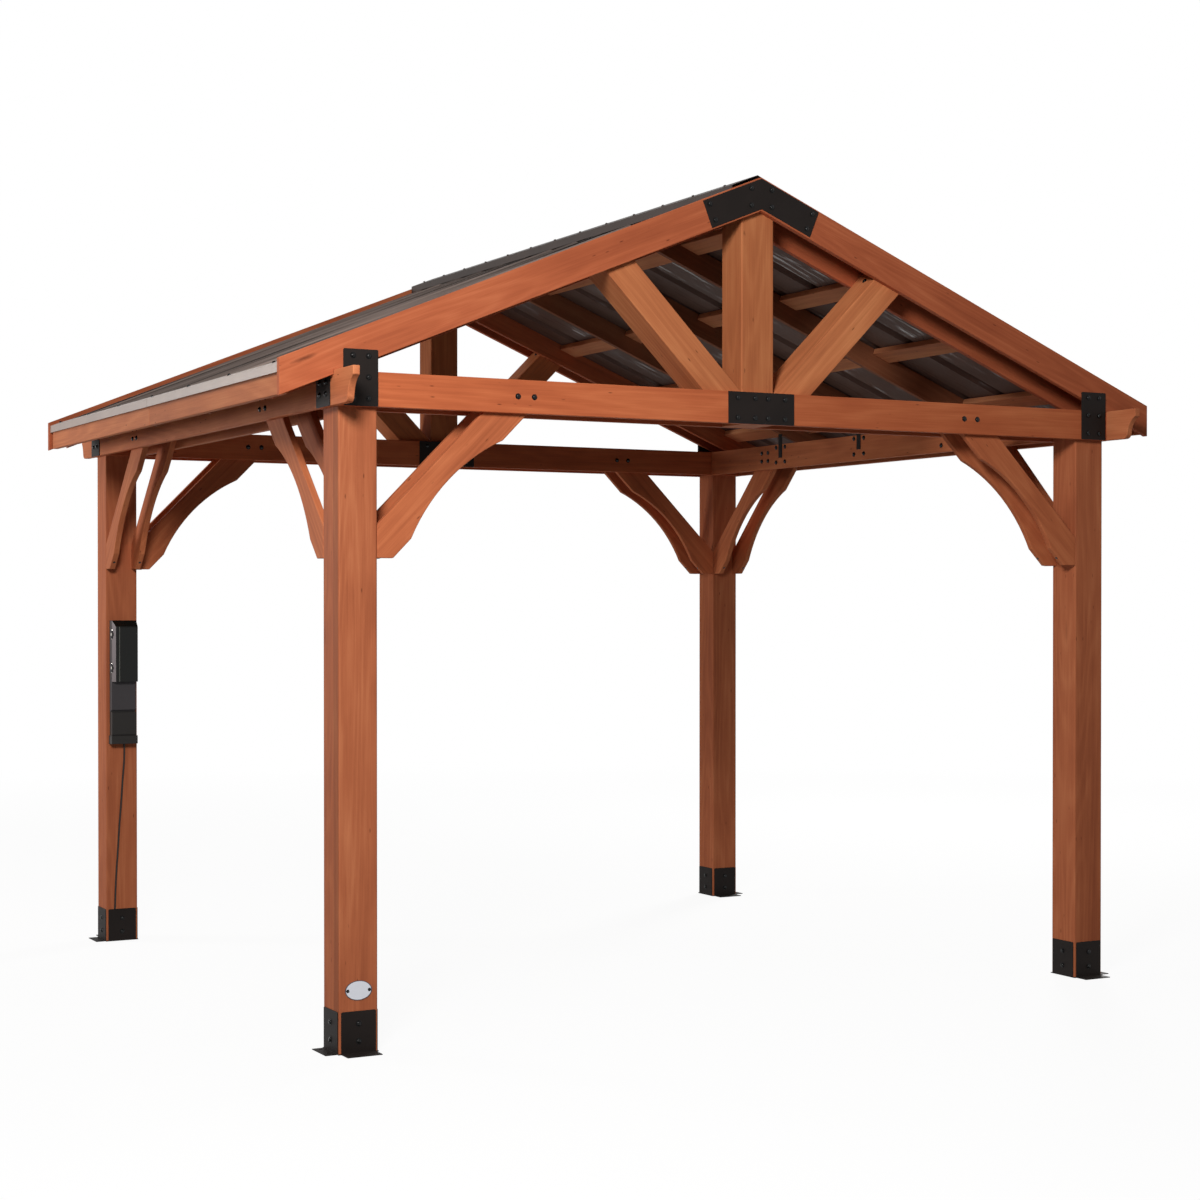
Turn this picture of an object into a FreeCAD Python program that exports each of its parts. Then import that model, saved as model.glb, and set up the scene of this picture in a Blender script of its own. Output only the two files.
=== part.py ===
"""Gable-roofed wooden gazebo on four square posts, in millimetres.

X runs across the gable, Y along the ridge and Z up. The origin lies on the
floor, at the middle of the four posts.
"""
import FreeCAD, Part
import math
import os
import re
import Sketcher

Vector = FreeCAD.Vector
doc = FreeCAD.newDocument("Gazebo")

# Driving sizes, one cell of the sheet each
SIZES = {
    # Frame
    "post_side": 140,
    "post_ease": 6,
    "span_wide": 3168,
    "span_deep": 2794,
    "beam_bottom": 2169,
    "beam_depth": 117,
    "board": 25,
    "splice_gap": 2,
    # Sawn tails of the side headers
    "tail_reach": 167,
    "tail_nose": 30,
    "tail_sweep": 46,
    "tail_sweep_radius": 79,
    "tail_heel": 24,
    # Roof pitch and rafters
    "slope": 0.407,
    "seat_bite": 5,
    "rafter_depth": 115,
    "eave_reach": 216,
    "inner_rafter_depth": 92,
    "inner_rafter_drop": 14,
    "notch_room": 1,
    # Truss
    "king_side": 140,
    "king_ease": 6,
    "web_depth": 115,
    "web_angle": 45,
    "web_rise": 60,
    # Curved braces
    "brace_width": 120,
    "brace_drop": 506,
    "brace_foot": 58,
    "brace_toe": 67,
    "brace_bow": 345,
    "brace_bow_radius": 684,
    "brace_head": 20,
    # Purlins and ridge board
    "purlin_width": 92,
    "purlin_first": 190,
    "purlin_inset": 39,
    # Sheets, ridge cap, fascia and drip edge
    "sheet_gauge": 1.2,
    "sheet_side_gap": 1,
    "ridge_gap": 4,
    "rib_pitch": 229,
    "rib_rise": 18,
    "rib_crown": 24,
    "rib_foot": 60,
    "sheet_overhang": 8,
    "fascia_depth": 84,
    "fascia_recess": 14,
    "trim_gauge": 1.5,
    "drip_flange": 40,
    "drip_leg": 29,
    "cap_wing": 112,
    "cap_lip": 30,
    # Steel plates
    "plate_gauge": 3,
    "plate_width": 125,
    "corner_plate_height": 190,
    "splice_plate_width": 286,
    "apex_plate_run": 252,
    "apex_plate_depth": 104,
    "apex_plate_margin": 5,
    "strap_width": 30,
    "strap_lap": 66,
    # Foot brackets
    "foot_plate_height": 143,
    "plate_corner": 5,
    "end_flange_reach": 58,
    "side_flange_reach": 42,
    "flange_hole": 11,
    "flange_hole_pitch": 76,
    # Outlet unit and its lead on the back left post
    "outlet_width": 110,
    "outlet_bottom": 884,
    "lip_height": 36,
    "lip_reach": 48,
    "lip_side_reach": 4,
    "seam_height": 4,
    "seam_depth": 5,
    "socket_box_height": 105,
    "socket_box_reach": 40,
    "panel_height": 135,
    "panel_reach": 34,
    "groove_height": 10,
    "groove_depth": 12,
    "cover_height": 273,
    "cover_reach": 30,
    "cover_gap": 1,
    "cover_wall": 3,
    "cover_side_wall": 4,
    "cover_side_bevel": 11,
    "cover_top_bevel": 27,
    "cover_panel_inset": 16,
    "cover_panel_rise": 1.5,
    "hinge_radius": 5,
    "hinge_pin_radius": 2.4,
    "hinge_pin_room": 0.3,
    "hinge_leaf": 12,
    "hinge_leaf_gap": 0.8,
    "hinge_inset": 62,
    "cord_radius": 4,
    "cord_gap": 0.3,
    # Blank oval plate on the front left post
    "badge_width": 96,
    "badge_height": 66,
    "badge_gauge": 2,
    "badge_centre": 212,
}

sheet = doc.addObject("Spreadsheet::Sheet", "Sizes")
for row, (alias, number) in enumerate(SIZES.items(), start=1):
    sheet.set(f"A{row}", alias.replace("_", " "))
    sheet.set(f"B{row}", str(number))
    sheet.setAlias(f"B{row}", alias)
gauge = doc.addObject("Part::Vertex", "Gauge")
doc.recompute()


def bound(text):
    """An expression of size names, with each name tied to its cell."""
    return re.sub(r"[a-z]\w*", lambda word: "Sizes." + word[0] if word[0] in SIZES else word[0], text)


def value(text):
    """What an expression of size names comes to now, read through the scratch vertex."""
    gauge.setExpression("X", bound(text))
    gauge.recompute()
    return gauge.X.Value


# Places that several pieces share, as expressions of the sizes
OUT_X = "((span_wide + post_side) / 2)"
IN_X = "((span_wide - post_side) / 2)"
OUT_Y = "((span_deep + post_side) / 2)"
IN_Y = "((span_deep - post_side) / 2)"
BEAM_TOP = "(beam_bottom + beam_depth)"
SECANT = "sqrt(1 + slope ^ 2)"
EAVE_X = f"({OUT_X} + eave_reach)"
FASCIA_X = f"({EAVE_X} - fascia_recess)"
APEX_UNDER = f"({BEAM_TOP} - seat_bite + slope * {OUT_X})"
BARGE_TOP = f"({APEX_UNDER} + rafter_depth * {SECANT})"
INNER_UNDER = f"({APEX_UNDER} - inner_rafter_drop)"
INNER_TOP = f"({INNER_UNDER} + inner_rafter_depth * {SECANT})"
RIB_TOP = f"({INNER_TOP} + (sheet_gauge + rib_rise) * {SECANT})"

RAFTER_PITCH = f"(({IN_Y} - board / 2) / 2)"
PURLIN_ROWS = 4
PURLIN_STEP = f"(({OUT_X} - purlin_inset - purlin_first) / {PURLIN_ROWS - 1})"

SIDES = {"left": -1, "right": 1}
ENDS = {"front": -1, "back": 1}


def roof_z(apex, run):
    """Height of a roof plane that has its ridge at apex, at a distance run from the middle."""
    return f"({apex} - slope * ({run}))"


def tie(item, **paths):
    """Ties properties of an object to expressions; a double underscore stands for a dot."""
    for path, text in paths.items():
        item.setExpression(path.replace("__", "."), bound(str(text)))
    return item


def place(item, x="0", y="0", z="0"):
    return tie(item, Placement__Base__x=x, Placement__Base__y=y, Placement__Base__z=z)


def box(name, size, corner):
    """A plain block with its low corner at the given place."""
    block = doc.addObject("Part::Box", name)
    tie(block, Length=size[0], Width=size[1], Height=size[2])
    return place(block, *corner)


def cylinder(name, radius, length, centre, axis=(0, 0, 1)):
    rod = doc.addObject("Part::Cylinder", name)
    rod.Placement.Rotation = FreeCAD.Rotation(Vector(0, 0, 1), Vector(*axis))
    tie(rod, Radius=radius, Height=length)
    return place(rod, *centre)


def outline(name, plane, points, arcs=None):
    """A body with a sketch of tied corner points; arcs maps an edge to its radius and bulge side."""
    body = doc.addObject("PartDesign::Body", name)
    sketch = body.newObject("Sketcher::SketchObject", name + "_outline")
    face = next(item for item in body.Origin.OriginFeatures if item.Role == plane)
    sketch.AttachmentSupport = [(face, "")]
    sketch.MapMode = "FlatFace"
    corners = [Vector(value(u), value(v), 0) for u, v in points]
    arcs = arcs or {}
    reversed_arcs = set()
    for i, start in enumerate(corners):
        end = corners[(i + 1) % len(corners)]
        if i in arcs:
            radius, side = value(arcs[i][0]), arcs[i][1]
            chord = end - start
            normal = Vector(-chord.y, chord.x, 0).normalize() * side
            rise = radius - (radius ** 2 - (chord.Length / 2) ** 2) ** 0.5
            arc = Part.Arc(start, (start + end) / 2 + normal * rise, end)
            sketch.addGeometry(arc)
            if side < 0:
                continue
            reversed_arcs.add(i)
        else:
            sketch.addGeometry(Part.LineSegment(start, end))
    joins = []
    for i in range(len(corners)):
        j = (i + 1) % len(corners)
        end_point = 1 if i in reversed_arcs else 2
        start_point = 2 if j in reversed_arcs else 1
        joins.append(Sketcher.Constraint("Coincident", i, end_point, j, start_point))
    sketch.addConstraint(joins)
    sizes, texts = [], []
    for i, ((u, v), corner) in enumerate(zip(points, corners)):
        point = 2 if i in reversed_arcs else 1
        for kind, size_text, size in (("DistanceX", u, corner.x), ("DistanceY", v, corner.y)):
            sizes.append(Sketcher.Constraint(kind, -1, 1, i, point, size))
            texts.append(size_text)
    for i, (radius, side) in arcs.items():
        sizes.append(Sketcher.Constraint("Radius", i, value(radius)))
        texts.append(radius)
    for number, size_text in zip(sketch.addConstraint(sizes), texts):
        sketch.setExpression(f"Constraints[{number}]", bound(size_text))
    return body, sketch


def board(name, plane, points, thickness, centre=("0", "0", "0"), arcs=None):
    """An outline padded evenly to both sides of its plane."""
    body, sketch = outline(name, plane, points, arcs)
    pad = body.newObject("PartDesign::Pad", name + "_pad")
    pad.Profile = sketch
    pad.SideType = "Symmetric"
    tie(pad, Length=thickness)
    return place(body, *centre)


def steel_plate(name, plane, height, centre, low_corner="plate_corner"):
    """An upright plate of the common width; its top corners are round, the low ones by low_corner."""
    side, top = "plate_width / 2", height
    points = [(f"-{side} + plate_corner", top), (f"-{side}", f"{top} - plate_corner")]
    arcs = {0: ("plate_corner", -1)}
    if low_corner == "0":
        points += [(f"-{side}", "0"), (side, "0")]
    else:
        points += [(f"-{side}", low_corner), (f"-{side} + {low_corner}", "0")]
        points += [(f"{side} - {low_corner}", "0"), (side, low_corner)]
        arcs[2] = arcs[4] = (low_corner, -1)
    points += [(side, f"{top} - plate_corner"), (f"{side} - plate_corner", top)]
    arcs[len(points) - 2] = ("plate_corner", -1)
    return board(name, plane, points, "plate_gauge", centre, arcs)


def ease_upright_edges(body, radius):
    """Rounds the vertical corners of a body that stands upright."""
    doc.recompute()
    pad = body.Tip
    fillet = body.newObject("PartDesign::Fillet", body.Name + "_ease")
    edges = [
        f"Edge{number}"
        for number, edge in enumerate(pad.Shape.Edges, start=1)
        if abs(edge.tangentAt(edge.FirstParameter).z) > 0.99
    ]
    fillet.Base = (pad, edges)
    tie(fillet, Radius=radius)
    return body


def fuse(name, members):
    joined = doc.addObject("Part::MultiFuse", name)
    joined.Shapes = members
    joined.Refine = True
    return joined


def cut(name, base, tools):
    tool = tools[0] if len(tools) == 1 else fuse(name + "_tools", tools)
    result = doc.addObject("Part::Cut", name)
    result.Base = base
    result.Tool = tool
    return result


def group(name, members):
    """Like pieces of one node, side by side."""
    whole = doc.addObject("Part::Compound", name)
    whole.Links = members
    return whole


def mirrored(name, source, normal):
    copy = doc.addObject("Part::Mirroring", name)
    copy.Source = source
    copy.Normal = Vector(*normal)
    return copy


ACROSS = (1, 0, 0)
ALONG = (0, 1, 0)
nodes = []


def keep(item, label):
    """Names a finished sub-part, which is written out under that name."""
    item.Label = label
    nodes.append(item)
    return item


def keep_both_sides(item, label):
    """Keeps a piece of the right side as label_right, with its mirror image as label_left."""
    keep(item, label + "_right")
    keep(mirrored(item.Name + "_m", item, ACROSS), label + "_left")


def keep_both_ends(item, label):
    """Keeps a piece of the front end as label_front, with its mirror image as label_back."""
    keep(item, label + "_front")
    keep(mirrored(item.Name + "_m", item, ALONG), label + "_back")


def build_posts():
    """Four square posts with eased corners, from the foot plates up to the beam tops."""
    half = "post_side / 2"
    for end, along in ENDS.items():
        for side, across in SIDES.items():
            name = f"post_{end}_{side}"
            corners = [(f"-{half}", f"-{half}"), (half, f"-{half}"), (half, half), (f"-{half}", half)]
            body, sketch = outline(name, "XY_Plane", corners)
            pad = body.newObject("PartDesign::Pad", name + "_pad")
            pad.Profile = sketch
            tie(pad, Length=f"{BEAM_TOP} - plate_gauge")
            ease_upright_edges(body, "post_ease")
            keep(place(body, f"{across} * span_wide / 2", f"{along} * span_deep / 2", "plate_gauge"), name)


def foot_flange(name, x_way, y_way):
    """A floor flange on one side of a foot, with two bolt holes; one of the ways is zero."""
    reach = "side_flange_reach" if x_way else "end_flange_reach"
    across = f"post_side / 2 + plate_gauge + {reach}"
    middle = f"post_side / 2 + plate_gauge + {reach} / 2"
    length_x = f"{reach} + plate_gauge" if x_way else "plate_width"
    length_y = f"{reach} + plate_gauge" if y_way else "plate_width"
    low_x = {1: "post_side / 2", -1: f"-({across})", 0: "-plate_width / 2"}[x_way]
    low_y = {1: "post_side / 2", -1: f"-({across})", 0: "-plate_width / 2"}[y_way]
    plate = box(name, (length_x, length_y, "plate_gauge"), (low_x, low_y, "0"))
    holes = []
    for n, way in enumerate((-1, 1)):
        x = f"{x_way} * ({middle})" if x_way else f"{way} * flange_hole_pitch / 2"
        y = f"{y_way} * ({middle})" if y_way else f"{way} * flange_hole_pitch / 2"
        centre = (x, y, "-plate_gauge")
        holes.append(cylinder(f"{name}_hole_{n}", "flange_hole / 2", "3 * plate_gauge", centre))
    return cut(name + "_drilled", plate, holes)


def build_foot_brackets():
    """A folded steel shoe round each post foot, with floor flanges on two of its sides."""
    flanges = {
        "front_left": ((-1, 0), (0, -1)),
        "front_right": ((1, 0), (0, -1)),
        "back_left": ((-1, 0), (0, 1)),
        "back_right": ((1, 0), (0, -1)),
    }
    outside = "post_side + 2 * plate_gauge"
    for end, along in ENDS.items():
        for side, across in SIDES.items():
            corner = f"{end}_{side}"
            name = f"foot_bracket_{corner}"
            low = f"-({outside}) / 2"
            pieces = [box(name + "_base", (outside, outside, "plate_gauge"), (low, low, "0"))]
            for n, way in enumerate((-1, 1)):
                face = f"{way} * (post_side + plate_gauge) / 2"
                walls = (("x", "YZ_Plane", (face, "0", "0")), ("y", "XZ_Plane", ("0", face, "0")))
                for axis, plane, centre in walls:
                    pieces.append(steel_plate(f"{name}_{axis}{n}", plane, "foot_plate_height", centre, "0"))
            for n, (x_way, y_way) in enumerate(flanges[corner]):
                pieces.append(foot_flange(f"{name}_flange{n}", x_way, y_way))
            shoe = fuse(name, pieces)
            keep(place(shoe, f"{across} * span_wide / 2", f"{along} * span_deep / 2"), name)


def build_headers():
    """Side headers: a long outer board with ogee tails past both gables, and a shorter inner board."""
    end = f"({OUT_Y} + board + tail_reach)"
    nose = f"{BEAM_TOP} - tail_nose"
    waist = f"({end} - tail_sweep)"
    waist_z = "beam_bottom + tail_heel"
    heel = f"({waist} - tail_heel)"
    points = [
        (f"-{heel}", "beam_bottom"),
        (heel, "beam_bottom"),
        (waist, waist_z),
        (end, nose),
        (end, BEAM_TOP),
        (f"-{end}", BEAM_TOP),
        (f"-{end}", nose),
        (f"-{waist}", waist_z),
    ]
    bulge = "tail_heel"
    sweep = "tail_sweep_radius"
    arcs = {1: (bulge, -1), 2: (sweep, 1), 6: (sweep, 1), 7: (bulge, -1)}
    outer = board("header_outer", "YZ_Plane", points, "board", (f"{OUT_X} + board / 2", "0", "0"), arcs)
    inner_length = f"{IN_Y} - board"
    inner = box(
        "header_inner",
        ("board", f"2 * ({inner_length})", "beam_depth"),
        (f"{IN_X} - board", f"-({inner_length})", "beam_bottom"),
    )
    keep_both_sides(group("header", [outer, inner]), "header")


def build_chords():
    """Tie beam of each gable: outer and inner boards, spliced in the middle and clipped under the rafters."""
    members = []
    for name, centre, rafter in (
        ("outer", f"{OUT_Y} + board / 2", APEX_UNDER),
        ("inner", f"{IN_Y} - board / 2", INNER_UNDER),
    ):
        under = f"({rafter} - notch_room)"
        points = [
            ("splice_gap / 2", "beam_bottom"),
            (OUT_X, "beam_bottom"),
            (OUT_X, roof_z(under, OUT_X)),
            (f"({under} - {BEAM_TOP}) / slope", BEAM_TOP),
            ("splice_gap / 2", BEAM_TOP),
        ]
        half = board(f"chord_{name}", "XZ_Plane", points, "board", ("0", f"-({centre})", "0"))
        members += [half, mirrored(half.Name + "_left", half, ACROSS)]
    keep_both_ends(group("chord", members), "chord")


def rafter_points(underside, topside, start, end):
    """Side view of a right-hand rafter with plumb ends and a seat notch over the outer header board."""
    notch_in = f"({OUT_X} - notch_room)"
    notch_out = f"({OUT_X} + board + notch_room)"
    return [
        (start, roof_z(underside, start)),
        (notch_in, roof_z(underside, notch_in)),
        (notch_in, BEAM_TOP),
        (notch_out, BEAM_TOP),
        (notch_out, roof_z(underside, notch_out)),
        (end, roof_z(underside, end)),
        (end, roof_z(topside, end)),
        (start, roof_z(topside, start)),
    ]


def rafter_pair(name, underside, topside, start, end, centre_y):
    points = rafter_points(underside, topside, start, end)
    right = board(name, "XZ_Plane", points, "board", ("0", centre_y, "0"))
    return [right, mirrored(name + "_left", right, ACROSS)]


def build_rafters():
    """Barge rafters and carrying rafters of the gables, and three plain pairs between them."""
    barge = rafter_pair(
        "barge", APEX_UNDER, BARGE_TOP, "splice_gap / 2", EAVE_X, f"-{OUT_Y} - board / 2"
    )
    inner_end = f"({FASCIA_X} - board)"
    carrying = rafter_pair(
        "carrying", INNER_UNDER, INNER_TOP, "splice_gap / 2", inner_end, f"-{IN_Y} + board / 2"
    )
    keep_both_ends(group("gable_rafters", barge + carrying), "gable_rafters")
    for place_name, step in (("front", -1), ("middle", 0), ("back", 1)):
        pair = rafter_pair(f"{place_name}_rafter", INNER_UNDER, INNER_TOP, "board / 2", inner_end,
                           f"{step} * {RAFTER_PITCH}")
        keep(group(f"{place_name}_rafters", pair), f"rafter_pair_{place_name}")


def build_ridge_board():
    length = f"2 * ({IN_Y} - board)"
    low = roof_z(INNER_UNDER, "board / 2")
    high = roof_z(INNER_TOP, "board / 2")
    ridge = box("ridge", ("board", length, f"{high} - {low}"), ("-board / 2", f"-({length}) / 2", low))
    keep(ridge, "ridge_board")


def build_king_posts():
    """Square king post of each gable, from the tie beam up to a top sawn to both roof slopes."""
    half = "king_side / 2"
    points = [
        (f"-{half}", "beam_bottom"),
        (half, "beam_bottom"),
        (half, roof_z(INNER_TOP, half)),
        ("0", INNER_TOP),
        (f"-{half}", roof_z(INNER_TOP, half)),
    ]
    body = board("king_post", "XZ_Plane", points, "post_side", ("0", "-span_deep / 2", "0"))
    keep_both_ends(ease_upright_edges(body, "king_ease"), "king_post")


def build_webs():
    """Two sloping struts of each gable, from the foot of the king post up between the rafters."""
    lean = "tan(web_angle)"
    width = "(web_depth / sin(web_angle))"
    foot = "(king_side / 2)"
    foot_out = f"({foot} + {width})"
    top = f"({APEX_UNDER} + web_rise)"
    upper_run = f"(({top} - {BEAM_TOP} + {lean} * {foot}) / ({lean} + slope))"
    lower_run = f"(({top} - {BEAM_TOP} + {lean} * {foot_out}) / ({lean} + slope))"
    points = [
        (foot, BEAM_TOP),
        (foot_out, BEAM_TOP),
        (lower_run, roof_z(top, lower_run)),
        (upper_run, roof_z(top, upper_run)),
    ]
    web = board("web", "XZ_Plane", points, "post_side", ("0", "-span_deep / 2", "0"))
    keep_both_ends(group("webs", [web, mirrored("web_left", web, ACROSS)]), "webs")


def brace_points(face):
    """Side view of a knee brace whose foot stands against a post face and whose bow faces the opening."""
    foot_z = "beam_bottom - brace_drop"
    head_z = f"{BEAM_TOP} - brace_head"
    heel = "brace_width * sqrt(2) - brace_foot"
    rise = f"({head_z} - ({foot_z}))"
    runs = ["0", "brace_foot", "brace_foot + brace_toe", "brace_foot + brace_toe + brace_bow",
            f"brace_foot + {rise}", f"{rise} - ({heel})", "0"]
    heights = [foot_z, foot_z, f"{foot_z} + brace_toe", f"{foot_z} + brace_toe + brace_bow",
               head_z, head_z, f"{foot_z} + {heel}"]
    return [(f"{face} - ({run})", height) for run, height in zip(runs, heights)]


def build_braces():
    """Sawn knee braces in pairs, against the inside of both boards of each beam."""
    bow = {2: ("brace_bow_radius", -1)}
    gable, long_side = [], []
    for name, centre in (("outer", f"{OUT_Y} - board / 2"), ("inner", f"{IN_Y} + board / 2")):
        brace = board(f"gable_brace_{name}", "XZ_Plane", brace_points(IN_X), "board",
                      ("0", f"-({centre})", "0"), bow)
        gable += [brace, mirrored(brace.Name + "_left", brace, ACROSS)]
    for name, centre in (("outer", f"{OUT_X} - board / 2"), ("inner", f"{IN_X} + board / 2")):
        brace = board(f"side_brace_{name}", "YZ_Plane", brace_points(IN_Y), "board",
                      (centre, "0", "0"), bow)
        long_side += [brace, mirrored(brace.Name + "_front", brace, ALONG)]
    keep_both_ends(group("gable_braces", gable), "braces")
    keep_both_sides(group("side_braces", long_side), "braces")


def build_purlins():
    """Flat purlins let in between the rafters, in rows down each slope."""
    thickness = "board"
    bays = [
        (f"-({IN_Y} - board)", f"-{RAFTER_PITCH} - board / 2"),
        (f"-{RAFTER_PITCH} + board / 2", "-board / 2"),
        ("board / 2", f"{RAFTER_PITCH} - board / 2"),
        (f"{RAFTER_PITCH} + board / 2", f"{IN_Y} - board"),
    ]
    pieces = []
    for row in range(PURLIN_ROWS):
        run = f"(purlin_first + {row} * {PURLIN_STEP})"
        for n, (low_y, high_y) in enumerate(bays):
            size = ("purlin_width", f"({high_y}) - ({low_y})", thickness)
            plank = box(f"purlin_{row}_{n}", size, (
                f"{run} - purlin_width / 2 / {SECANT} - {thickness} * slope / {SECANT}",
                low_y,
                f"{roof_z(INNER_TOP, run)} + purlin_width / 2 * slope / {SECANT} - {thickness} / {SECANT}",
            ))
            plank.Placement.Rotation = FreeCAD.Rotation(Vector(0, 1, 0), 1)
            tie(plank, Placement__Rotation__Angle="atan(slope)")
            pieces.append(plank)
    keep_both_sides(group("purlins", pieces), "purlins")


def build_roof_sheets():
    """Ribbed sheets that lie between the barge rafters; the ribs run down the slope."""
    half = f"({OUT_Y} - sheet_side_gap)"
    ribs = int((value(half) - value("rib_foot") / 2) / value("rib_pitch"))
    crown_z = "sheet_gauge + rib_rise"
    upper = [(f"-{half}", "sheet_gauge")]
    for n in range(-ribs, ribs + 1):
        upper += [
            (f"{n} * rib_pitch - rib_foot / 2", "sheet_gauge"),
            (f"{n} * rib_pitch - rib_crown / 2", crown_z),
            (f"{n} * rib_pitch + rib_crown / 2", crown_z),
            (f"{n} * rib_pitch + rib_foot / 2", "sheet_gauge"),
        ]
    upper.append((half, "sheet_gauge"))
    lower = [(y, f"{z} - sheet_gauge") for y, z in reversed(upper)]
    body, sketch = outline("sheets", "YZ_Plane", upper + lower)
    pad = body.newObject("PartDesign::Pad", "sheets_pad")
    pad.Profile = sketch
    tie(pad, Length=f"({FASCIA_X} + sheet_overhang - ridge_gap) * {SECANT} - ({crown_z}) * slope")
    body.Placement.Rotation = FreeCAD.Rotation(Vector(0, 1, 0), value("atan(slope)"))
    place(body, "ridge_gap", "0", roof_z(INNER_TOP, "ridge_gap"))
    tie(body, Placement__Rotation__Angle="atan(slope)")
    keep_both_sides(body, "roof_sheets")


def build_ridge_cap():
    """Folded cap over the ridge, with a lip down to the ribs along each edge."""
    edge = "cap_wing"
    inner = "(cap_wing - trim_gauge)"
    thick = f"trim_gauge * {SECANT}"
    top = f"({RIB_TOP} + cap_lip)"
    points = [
        (edge, f"{roof_z(RIB_TOP, edge)}"),
        (edge, roof_z(top, edge)),
        ("0", top),
        (f"-{edge}", roof_z(top, edge)),
        (f"-{edge}", f"{roof_z(RIB_TOP, edge)}"),
        (f"-{inner}", f"{roof_z(RIB_TOP, inner)}"),
        (f"-{inner}", f"{roof_z(top, inner)} - {thick}"),
        ("0", f"{top} - {thick}"),
        (inner, f"{roof_z(top, inner)} - {thick}"),
        (inner, f"{roof_z(RIB_TOP, inner)}"),
    ]
    keep(board("cap", "XZ_Plane", points, f"2 * ({OUT_Y} - sheet_side_gap)"), "ridge_cap")


def build_eaves():
    """Fascia boards between the barge rafters, and a metal drip edge over the ends of the ribs."""
    low = f"({roof_z(INNER_TOP, FASCIA_X)} - fascia_depth)"
    back = f"({FASCIA_X} - board)"
    points = [
        (back, low),
        (FASCIA_X, low),
        (FASCIA_X, roof_z(INNER_TOP, FASCIA_X)),
        (back, roof_z(INNER_TOP, back)),
    ]
    length = f"{OUT_Y} - splice_gap / 2"
    front = board("fascia", "XZ_Plane", points, length, ("0", f"-({length}) / 2 - splice_gap / 2", "0"))
    keep_both_sides(group("fascias", [front, mirrored("fascia_back", front, ALONG)]), "fascia")
    leg_in = f"({FASCIA_X} + sheet_overhang)"
    leg_out = f"({leg_in} + trim_gauge)"
    flange = f"({leg_in} - drip_flange)"
    leg_low = f"({roof_z(RIB_TOP, leg_out)} - drip_leg)"
    thick = f"trim_gauge * {SECANT}"
    trim = [
        (leg_in, leg_low),
        (leg_out, leg_low),
        (leg_out, f"{roof_z(RIB_TOP, leg_out)} + {thick}"),
        (flange, f"{roof_z(RIB_TOP, flange)} + {thick}"),
        (flange, roof_z(RIB_TOP, flange)),
        (leg_in, roof_z(RIB_TOP, leg_in)),
    ]
    run = f"{OUT_Y} - sheet_side_gap - splice_gap / 2"
    drip = board("drip", "XZ_Plane", trim, run, ("0", f"-({run}) / 2 - splice_gap / 2", "0"))
    keep_both_sides(group("drips", [drip, mirrored("drip_back", drip, ALONG)]), "drip_edge")


def build_truss_plates():
    """Steel plates on the gable face: apex, splice and corners, with a second splice plate inside."""
    face_y = f"-{OUT_Y} - board - plate_gauge"
    run = "apex_plate_run"
    top = f"({BARGE_TOP} - apex_plate_margin * {SECANT})"
    low = f"({top} - apex_plate_depth * {SECANT})"
    inset = "(apex_plate_depth * slope / sqrt(1 + slope ^ 2))"
    tip = f"({run} - {inset})"
    apex_points = [
        (run, roof_z(top, run)),
        ("0", top),
        (f"-{run}", roof_z(top, run)),
        (f"-{tip}", roof_z(low, tip)),
        ("0", low),
        (tip, roof_z(low, tip)),
    ]
    middle_y = f"{face_y} + plate_gauge / 2"
    apex = board("apex_plate", "XZ_Plane", apex_points, "plate_gauge", ("0", middle_y, "0"))
    splice_size = ("splice_plate_width", "plate_gauge", "beam_depth")
    splice = box("splice_plate", splice_size, ("-splice_plate_width / 2", face_y, "beam_bottom"))
    inside_y = f"-{IN_Y} + board"
    splice_in = box("splice_plate_in", splice_size, ("-splice_plate_width / 2", inside_y, "beam_bottom"))
    corners = [
        steel_plate(f"corner_plate_{side}", "XZ_Plane", "corner_plate_height",
                    (f"{across} * span_wide / 2", middle_y, "beam_bottom"))
        for side, across in SIDES.items()
    ]
    keep_both_ends(group("truss_plates", [apex, splice, splice_in] + corners), "truss_plates")


def build_header_plates():
    """Steel plates on the headers over each post, and straps that tie the rafters to the inner boards."""
    plate_size = ("plate_gauge", "plate_width", "beam_depth")
    pieces = [
        box(f"header_plate_{end}", plate_size,
            (f"{OUT_X} + board", f"{along} * span_deep / 2 - plate_width / 2", "beam_bottom"))
        for end, along in ENDS.items()
    ]
    strap_face = f"({IN_X} - board)"
    strap_low = f"({BEAM_TOP} - strap_lap)"
    strap_high = roof_z(INNER_UNDER, strap_face)
    for n, step in enumerate((-1, 0, 1)):
        size = ("plate_gauge", "strap_width", f"{strap_high} - {strap_low}")
        corner = (f"{strap_face} - plate_gauge", f"{step} * {RAFTER_PITCH} - strap_width / 2", strap_low)
        pieces.append(box(f"strap_{n}", size, corner))
    keep_both_sides(group("header_plates", pieces), "header_plates")


POST_X = "(-span_wide / 2)"
POST_FACE = IN_Y
LIP_TOP = "(outlet_bottom + lip_height)"
SOCKET_TOP = f"({LIP_TOP} + socket_box_height)"
PANEL_TOP = f"({SOCKET_TOP} + panel_height)"
COVER_LOW = f"({PANEL_TOP} + cover_gap)"
COVER_TOP = f"({COVER_LOW} + cover_height)"
HINGE_X = f"({POST_X} - outlet_width / 2)"
HINGE_Y = f"({POST_FACE} - panel_reach - hinge_radius)"


def hinge_heights():
    """Low edge of the middle leaf of both hinges."""
    lower = f"{COVER_LOW} + hinge_inset - hinge_leaf / 2"
    upper = f"{COVER_TOP} - hinge_inset - hinge_leaf / 2"
    return lower, upper


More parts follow.
